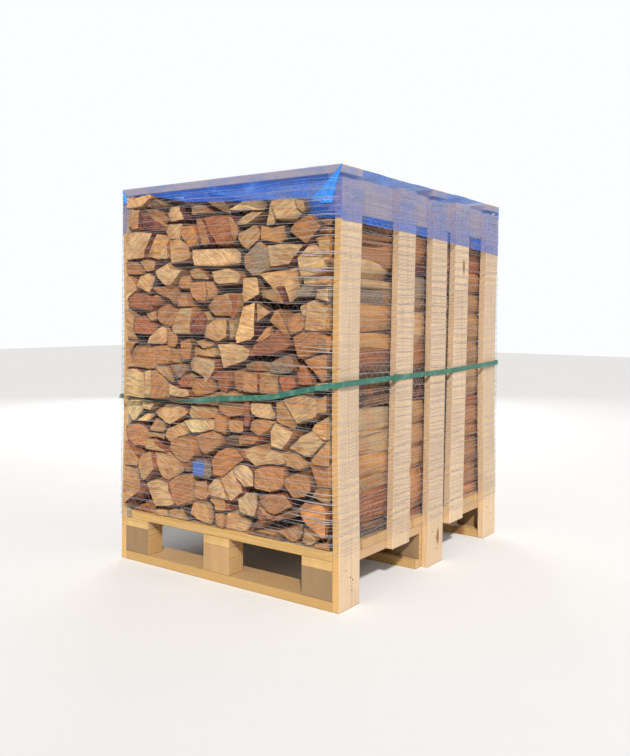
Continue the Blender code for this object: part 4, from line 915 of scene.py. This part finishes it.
def zigzag(chain, outward, radius, first):
    """Threads between neighbouring chains, three-sided: up at even steps, down at odd ones."""
    lower, upper = chain[:-1], chain[1:]
    ahead_lower, ahead_upper = np.roll(lower, -1, 1), np.roll(upper, -1, 1)
    even = (np.arange(chain.shape[1]) % 2 == 0)[None, :, None]
    start = np.where(even, lower, upper)
    end = np.where(even, ahead_upper, ahead_lower)
    bars = np.stack((yarn_tube(start, outward[None], radius), yarn_tube(end, outward[None], radius)), -3)
    points = bars.reshape(-1, 3)
    base = (np.arange(len(points) // 6) * 6 + first)[:, None, None]
    sides = base + np.array(((0, 3, 4, 1), (1, 4, 5, 2), (2, 5, 3, 0)))
    caps = base + np.array(((0, 1, 2), (3, 5, 4)))
    return points, sides.reshape(-1, 4).tolist() + caps.reshape(-1, 3).tolist()


def strap_finish(name):
    """Green polyester strap: embossed with a fine diamond pattern."""
    finish = Finish(name)
    place, parts = finish.place()
    first = ((parts[0] + parts[1]) * 1900 + parts[2] * 1900).sine()
    second = ((parts[0] + parts[1]) * 1900 - parts[2] * 1900).sine()
    emboss = (first * second).between(-0.2, 0.6)
    scuff = finish.noise(place, 60.0, 3.0)
    colour = finish.blend(scuff.between(0.4, 0.75), (0.022, 0.130, 0.088), (0.085, 0.235, 0.175))
    return finish.shader(Base_Color=colour, Roughness=scuff.between(0.3, 0.7, 0.28, 0.45),
                         Normal=finish.bump(emboss, 0.0003, 0.4))


def make_strap(settings):
    """The strap: a flat band along its route, turned on edge towards the left of the front.

    The band's centre line is the solid's route; at each point it is half a width to either side along a
    direction that starts upright and is turned about the route by the twist.
    """
    side = NET_SIDE + 0.0012
    end = NET_END + 0.0012
    shoulder = -POST_FRONT + 0.0020
    corner = 0.3935
    route = np.array((
        (-corner, -end, 0.511), (-0.250, -end, 0.511), (-0.100, -end, 0.520), (0.0, -end, 0.534),
        (0.100, -end, 0.543), (0.200, -end, 0.550), (0.300, -end, 0.572), (corner, -end, 0.592),
        (side, -shoulder, 0.597), (side, 0.100, 0.600), (side, shoulder, 0.611),
        (corner, end, 0.612), (0.0, end, 0.600), (-corner, end, 0.575),
        (-side, shoulder, 0.570), (-side, 0.0, 0.545), (-side, -shoulder, 0.513),
        (-corner, -end, 0.511),
    ))
    step = np.linalg.norm(np.diff(route, axis=0), axis=1)
    far = np.concatenate(([0], np.cumsum(step)))
    count = 420
    run = np.arange(count) / count * far[-1]
    centre = np.stack([np.interp(run, far, route[:, i]) for i in range(3)], -1)
    smooth = centre.copy()
    for _ in range(3):
        smooth[:, 2] = (np.roll(smooth[:, 2], 2) + smooth[:, 2] + np.roll(smooth[:, 2], -2)) / 3
    centre[:, 2] = smooth[:, 2]
    heading = np.roll(centre, -1, 0) - np.roll(centre, 1, 0)
    heading /= np.linalg.norm(heading, axis=1, keepdims=True)
    outward = np.column_stack((heading[:, 1], -heading[:, 0], np.zeros(count)))
    outward /= np.linalg.norm(outward, axis=1, keepdims=True)
    up = np.array((0.0, 0.0, 1.0))
    leaving = np.clip((0.365 - run) / 0.14, 0, 1)
    arriving = np.clip(1 - (far[-1] - run) / 0.07, 0, 1)
    twist = math.radians(settings.strap_twist) * np.maximum(leaving, arriving)
    flat = np.cos(twist)[:, None] * up + np.sin(twist)[:, None] * outward
    normal = np.cos(twist)[:, None] * outward - np.sin(twist)[:, None] * up
    half, thick = settings.strap_width / 2, settings.strap_thickness / 2
    profile = ((1, 1), (0.33, 1.0), (-0.33, 1.0), (-1, 1), (-1, -1), (1, -1))
    rings = np.stack([centre + flat * half * a + normal * thick * b for a, b in profile], 1)
    points = rings.reshape(-1, 3)
    # The row after the last one is the first one again
    faces = grid_faces(count + 1, len(profile), True) % len(points)
    add_piece("strap_band", points, faces.tolist(), strap_finish("green_strap"),
              ("strap",), smooth=False)


def steel_finish(name, colour, roughness):
    """Dull metal with a fine mottled sheen."""
    finish = Finish(name)
    place, _ = finish.place()
    mottle = finish.noise(place, 240.0, 3.0)
    tint = finish.shade(colour, mottle * 0.5 + 0.75)
    return finish.shader(Base_Color=tint, Metallic=1.0, Roughness=roughness,
                         Normal=finish.bump(mottle, 0.0003, 0.4))


def make_boards():
    """Give every sawn board and block its own piece of wood."""
    seed = 11
    for name in sorted(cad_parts):
        low, high = node_box(name)
        kind = name if name in BOARD_LOOKS else name.split("_")[0]
        if kind not in BOARD_LOOKS:
            continue
        tone, fresh, worn, front_grain_and_light_share, front_grain_and_light_tone = BOARD_LOOKS[kind]
        seed += 1
        grain = int(np.argmax(high - low))
        if name.startswith("block"):
            grain = 1
        draw = np.random.default_rng(seed)
        tone = tuple(np.array(tone) * draw.normal(1.0, 0.05))
        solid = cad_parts[name]
        solid.data.materials.clear()
        wood = sawn_wood(f"{name}_wood", grain, tone, fresh, seed, (low, high), worn, front_grain_and_light_share,
                         front_grain_and_light_tone)
        solid.data.materials.append(wood)


def make_nails():
    """Nail heads: shallow domes, sunk a little in the posts' feet and tops."""
    places = []
    for hand in (-1, 1):
        for index in (1, 3, 5):
            low, high = node_box(f"post_right_{index}")
            for y, z in ((0.030, 0.105), (0.052, 0.082), (0.063, 0.074), (0.060, 0.046),
                         (0.030, 1.085), (0.066, 1.088), (0.022, 1.112)):
                places.append((hand * POST_FACE, low[1] + y, z, hand))
        for index in (2, 4):
            low, high = node_box(f"post_right_{index}")
            for y, z in ((0.035, 1.085), (0.067, 1.105), (0.05, 0.145)):
                shift = (high[1] - low[1] - 0.098) * (z - 0.105) / 1.04
                places.append((hand * POST_FACE, low[1] + shift + y, z, hand))
    turn = np.linspace(0, math.tau, 12, endpoint=False)
    circle = np.stack((np.cos(turn), np.sin(turn)), -1)
    profile = ((0.0021, -0.0002), (0.0021, 0.00025), (0.0013, 0.0004))
    points, faces = [], []
    for x, y, z, hand in places:
        start = len(points) * (len(turn) * len(profile) + 1)
        rings = [np.column_stack((np.full(12, x + hand * out), y + circle[:, 0] * hand * size,
                                  z + circle[:, 1] * size)) for size, out in profile]
        points.append(np.vstack(rings + [[[x + hand * 0.00042, y, z]]]))
        faces += grid_faces(len(profile), 12, True, start).tolist()
        top = start + 24 + np.arange(12)
        faces += np.stack((top, start + 24 + (np.arange(12) + 1) % 12, np.full(12, start + 36)), 1).tolist()
        faces.append((start + np.arange(12)[::-1]).tolist())
    add_piece("nails", np.vstack(points), faces, steel_finish("dark_nail", (0.06, 0.05, 0.04), 0.55))


def make_camera():
    """The photograph's view."""
    data = bpy.data.cameras.new("camera")
    data.lens = CAMERA_LENS
    data.shift_x, data.shift_y = CAMERA_SHIFT
    camera = bpy.data.objects.new("camera", data)
    camera.location = CAMERA_PLACE
    camera.rotation_euler = (math.radians(90 + CAMERA_PITCH), math.radians(CAMERA_ROLL),
                             math.radians(CAMERA_YAW))
    bpy.context.scene.collection.objects.link(camera)
    bpy.context.scene.camera = camera


def make_light(name, kind, place, target, size, power, colour=(1.0, 1.0, 1.0)):
    """A soft light that faces a point: a square panel of a size, or an even distant one of an angle."""
    data = bpy.data.lights.new(name, kind)
    setattr(data, "angle" if kind == "SUN" else "size", size)
    data.energy = power
    data.color = colour
    light = bpy.data.objects.new(name, data)
    light.location = place
    aim = np.array(target) - np.array(place)
    flat = math.hypot(aim[0], aim[1])
    light.rotation_euler = (math.atan2(flat, -aim[2]), 0.0, math.atan2(aim[1], aim[0]) - math.pi / 2)
    bpy.context.scene.collection.objects.link(light)


def make_floor():
    """A wide pale floor, level with the ground under the pallet."""
    finish = Finish("pale_floor")
    place, _ = finish.place()
    cloud = finish.noise(place, 0.8, 2.0)
    finish.shader(Base_Color=finish.blend(cloud, (0.80, 0.80, 0.80), (0.84, 0.84, 0.835)), Roughness=0.9)
    half = 14.0
    mesh = bpy.data.meshes.new("floor")
    corners = np.array(((-half, -half, -0.0004), (half, -half, -0.0004), (half, half, -0.0004),
                        (-half, half, -0.0004)))
    mesh.from_pydata(corners.tolist(), [], [(0, 1, 2, 3)])
    mesh.materials.append(finish.material)
    floor = bpy.data.objects.new("floor", mesh)
    bpy.context.scene.collection.objects.link(floor)


def make_world(strength):
    """A pale surround that lights the load evenly, and is white where it is seen."""
    world = bpy.data.worlds.new("surround")
    world.use_nodes = True
    tree = world.node_tree
    backdrop = tree.nodes["Background"]
    backdrop.inputs["Color"].default_value = (0.97, 0.985, 1.0, 1.0)
    ray = tree.nodes.new("ShaderNodeLightPath")
    level = tree.nodes.new("ShaderNodeMapRange")
    level.inputs["To Min"].default_value = strength
    level.inputs["To Max"].default_value = 1.0
    tree.links.new(ray.outputs["Is Camera Ray"], level.inputs["Value"])
    tree.links.new(level.outputs[0], backdrop.inputs["Strength"])
    bpy.context.scene.world = world


class FirewoodSettings(bpy.types.PropertyGroup):
    """Sizes and strengths that change the look of the load."""

    log_seed: IntProperty(name="Log seed", description="Draw of the logs' roughness and bark", default=3)
    film_sag: FloatProperty(name="Film sag", description="How deep the film hangs between the planks",
                            default=0.020, unit="LENGTH")
    net_layers: IntProperty(name="Net layers", description="Turns of net over each other", default=3)
    net_pitch: FloatProperty(name="Chain spacing", description="Height between the net's chains",
                             default=0.024, unit="LENGTH")
    net_yarn: FloatProperty(name="Yarn thickness", description="Thickness of a chain", default=0.00068,
                            unit="LENGTH")
    net_thread: FloatProperty(name="Thread thickness", description="Thickness of the threads between",
                              default=0.0002, unit="LENGTH")
    strap_width: FloatProperty(name="Strap width", description="Width of the strap", default=0.015,
                               unit="LENGTH")
    strap_thickness: FloatProperty(name="Strap thickness", description="Thickness of the strap",
                                   default=0.0008, unit="LENGTH")
    strap_twist: FloatProperty(name="Strap twist", description="Turn of the strap at the left, in degrees",
                               default=84.0)
    key_power: FloatProperty(name="Key light", description="Strength of the main light, in W/m2",
                             default=3.5)
    fill_power: FloatProperty(name="Fill light", description="Power of the light from the right, in watts",
                              default=35.0)
    back_power: FloatProperty(name="Back light", description="Power of the light from behind, in watts",
                              default=70.0)
    surround: FloatProperty(name="Surround", description="Strength of the pale surround", default=0.36)
    key_colour: FloatVectorProperty(name="Key colour", description="Colour of the main light",
                                    subtype="COLOR", default=(1.0, 0.975, 0.94))


class FIREWOOD_OT_boards(bpy.types.Operator):
    """Finish the pallet, the posts, the rails and the planks, and drive in the nails"""

    bl_idname = "firewood.boards"
    bl_label = "Boards and nails"

    def execute(self, context):
        make_boards()
        make_nails()
        return {"FINISHED"}


class FIREWOOD_OT_logs(bpy.types.Operator):
    """Stack the three rows of split logs"""

    bl_idname = "firewood.logs"
    bl_label = "Logs"

    def execute(self, context):
        make_rows(context.scene.firewood.log_seed)
        return {"FINISHED"}


class FIREWOOD_OT_film(bpy.types.Operator):
    """Lay the blue film over the load"""

    bl_idname = "firewood.film"
    bl_label = "Film"

    def execute(self, context):
        make_film(context.scene.firewood)
        return {"FINISHED"}


class FIREWOOD_OT_net(bpy.types.Operator):
    """Wind the net round the load"""

    bl_idname = "firewood.net"
    bl_label = "Net"

    def execute(self, context):
        make_net(context.scene.firewood)
        return {"FINISHED"}


class FIREWOOD_OT_strap(bpy.types.Operator):
    """Tie the strap round the load"""

    bl_idname = "firewood.strap"
    bl_label = "Strap and seal"

    def execute(self, context):
        make_strap(context.scene.firewood)
        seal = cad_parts["strap_seal"]
        seal.data.materials.clear()
        seal.data.materials.append(steel_finish("seal_steel", (0.12, 0.30, 0.23), 0.45))
        return {"FINISHED"}


class FIREWOOD_OT_stage(bpy.types.Operator):
    """Set up the floor, the lights and the camera"""

    bl_idname = "firewood.stage"
    bl_label = "Stage"

    def execute(self, context):
        settings = context.scene.firewood
        make_floor()
        make_world(settings.surround)
        make_light("key", "SUN", (2.3, -2.7, 3.1), (0.1, 0.0, 0.55), math.radians(4.0),
                   settings.key_power, tuple(settings.key_colour))
        make_light("fill", "AREA", (4.2, -0.5, 2.0), (0.0, 0.0, 0.6), 2.2, settings.fill_power)
        make_light("back", "AREA", (-3.0, 3.4, 1.9), (0.0, 0.0, 0.6), 2.4, settings.back_power)
        make_camera()
        context.scene.view_settings.view_transform = "Standard"
        return {"FINISHED"}


OPERATORS = (FIREWOOD_OT_stage, FIREWOOD_OT_boards, FIREWOOD_OT_logs, FIREWOOD_OT_film, FIREWOOD_OT_net,
             FIREWOOD_OT_strap)


class FIREWOOD_PT_panel(bpy.types.Panel):
    """Lists the steps of the build and its settings"""

    bl_idname = "FIREWOOD_PT_panel"
    bl_label = "Firewood pallet"
    bl_space_type = "VIEW_3D"
    bl_region_type = "UI"
    bl_category = "Firewood"

    def draw(self, context):
        for operator in OPERATORS:
            self.layout.operator(operator.bl_idname)
        for name in FirewoodSettings.__annotations__:
            self.layout.prop(context.scene.firewood, name)


CLASSES = (FirewoodSettings, *OPERATORS, FIREWOOD_PT_panel)


def register():
    for item in CLASSES:
        bpy.utils.register_class(item)
    bpy.types.Scene.firewood = PointerProperty(type=FirewoodSettings)


def unregister():
    del bpy.types.Scene.firewood
    for item in reversed(CLASSES):
        bpy.utils.unregister_class(item)


def main():
    """Build every piece in order."""
    register()
    for operator in OPERATORS:
        group, name = operator.bl_idname.split(".")
        getattr(getattr(bpy.ops, group), name)()
    bpy.context.view_layer.update()


if __name__ == "__main__":
    main()
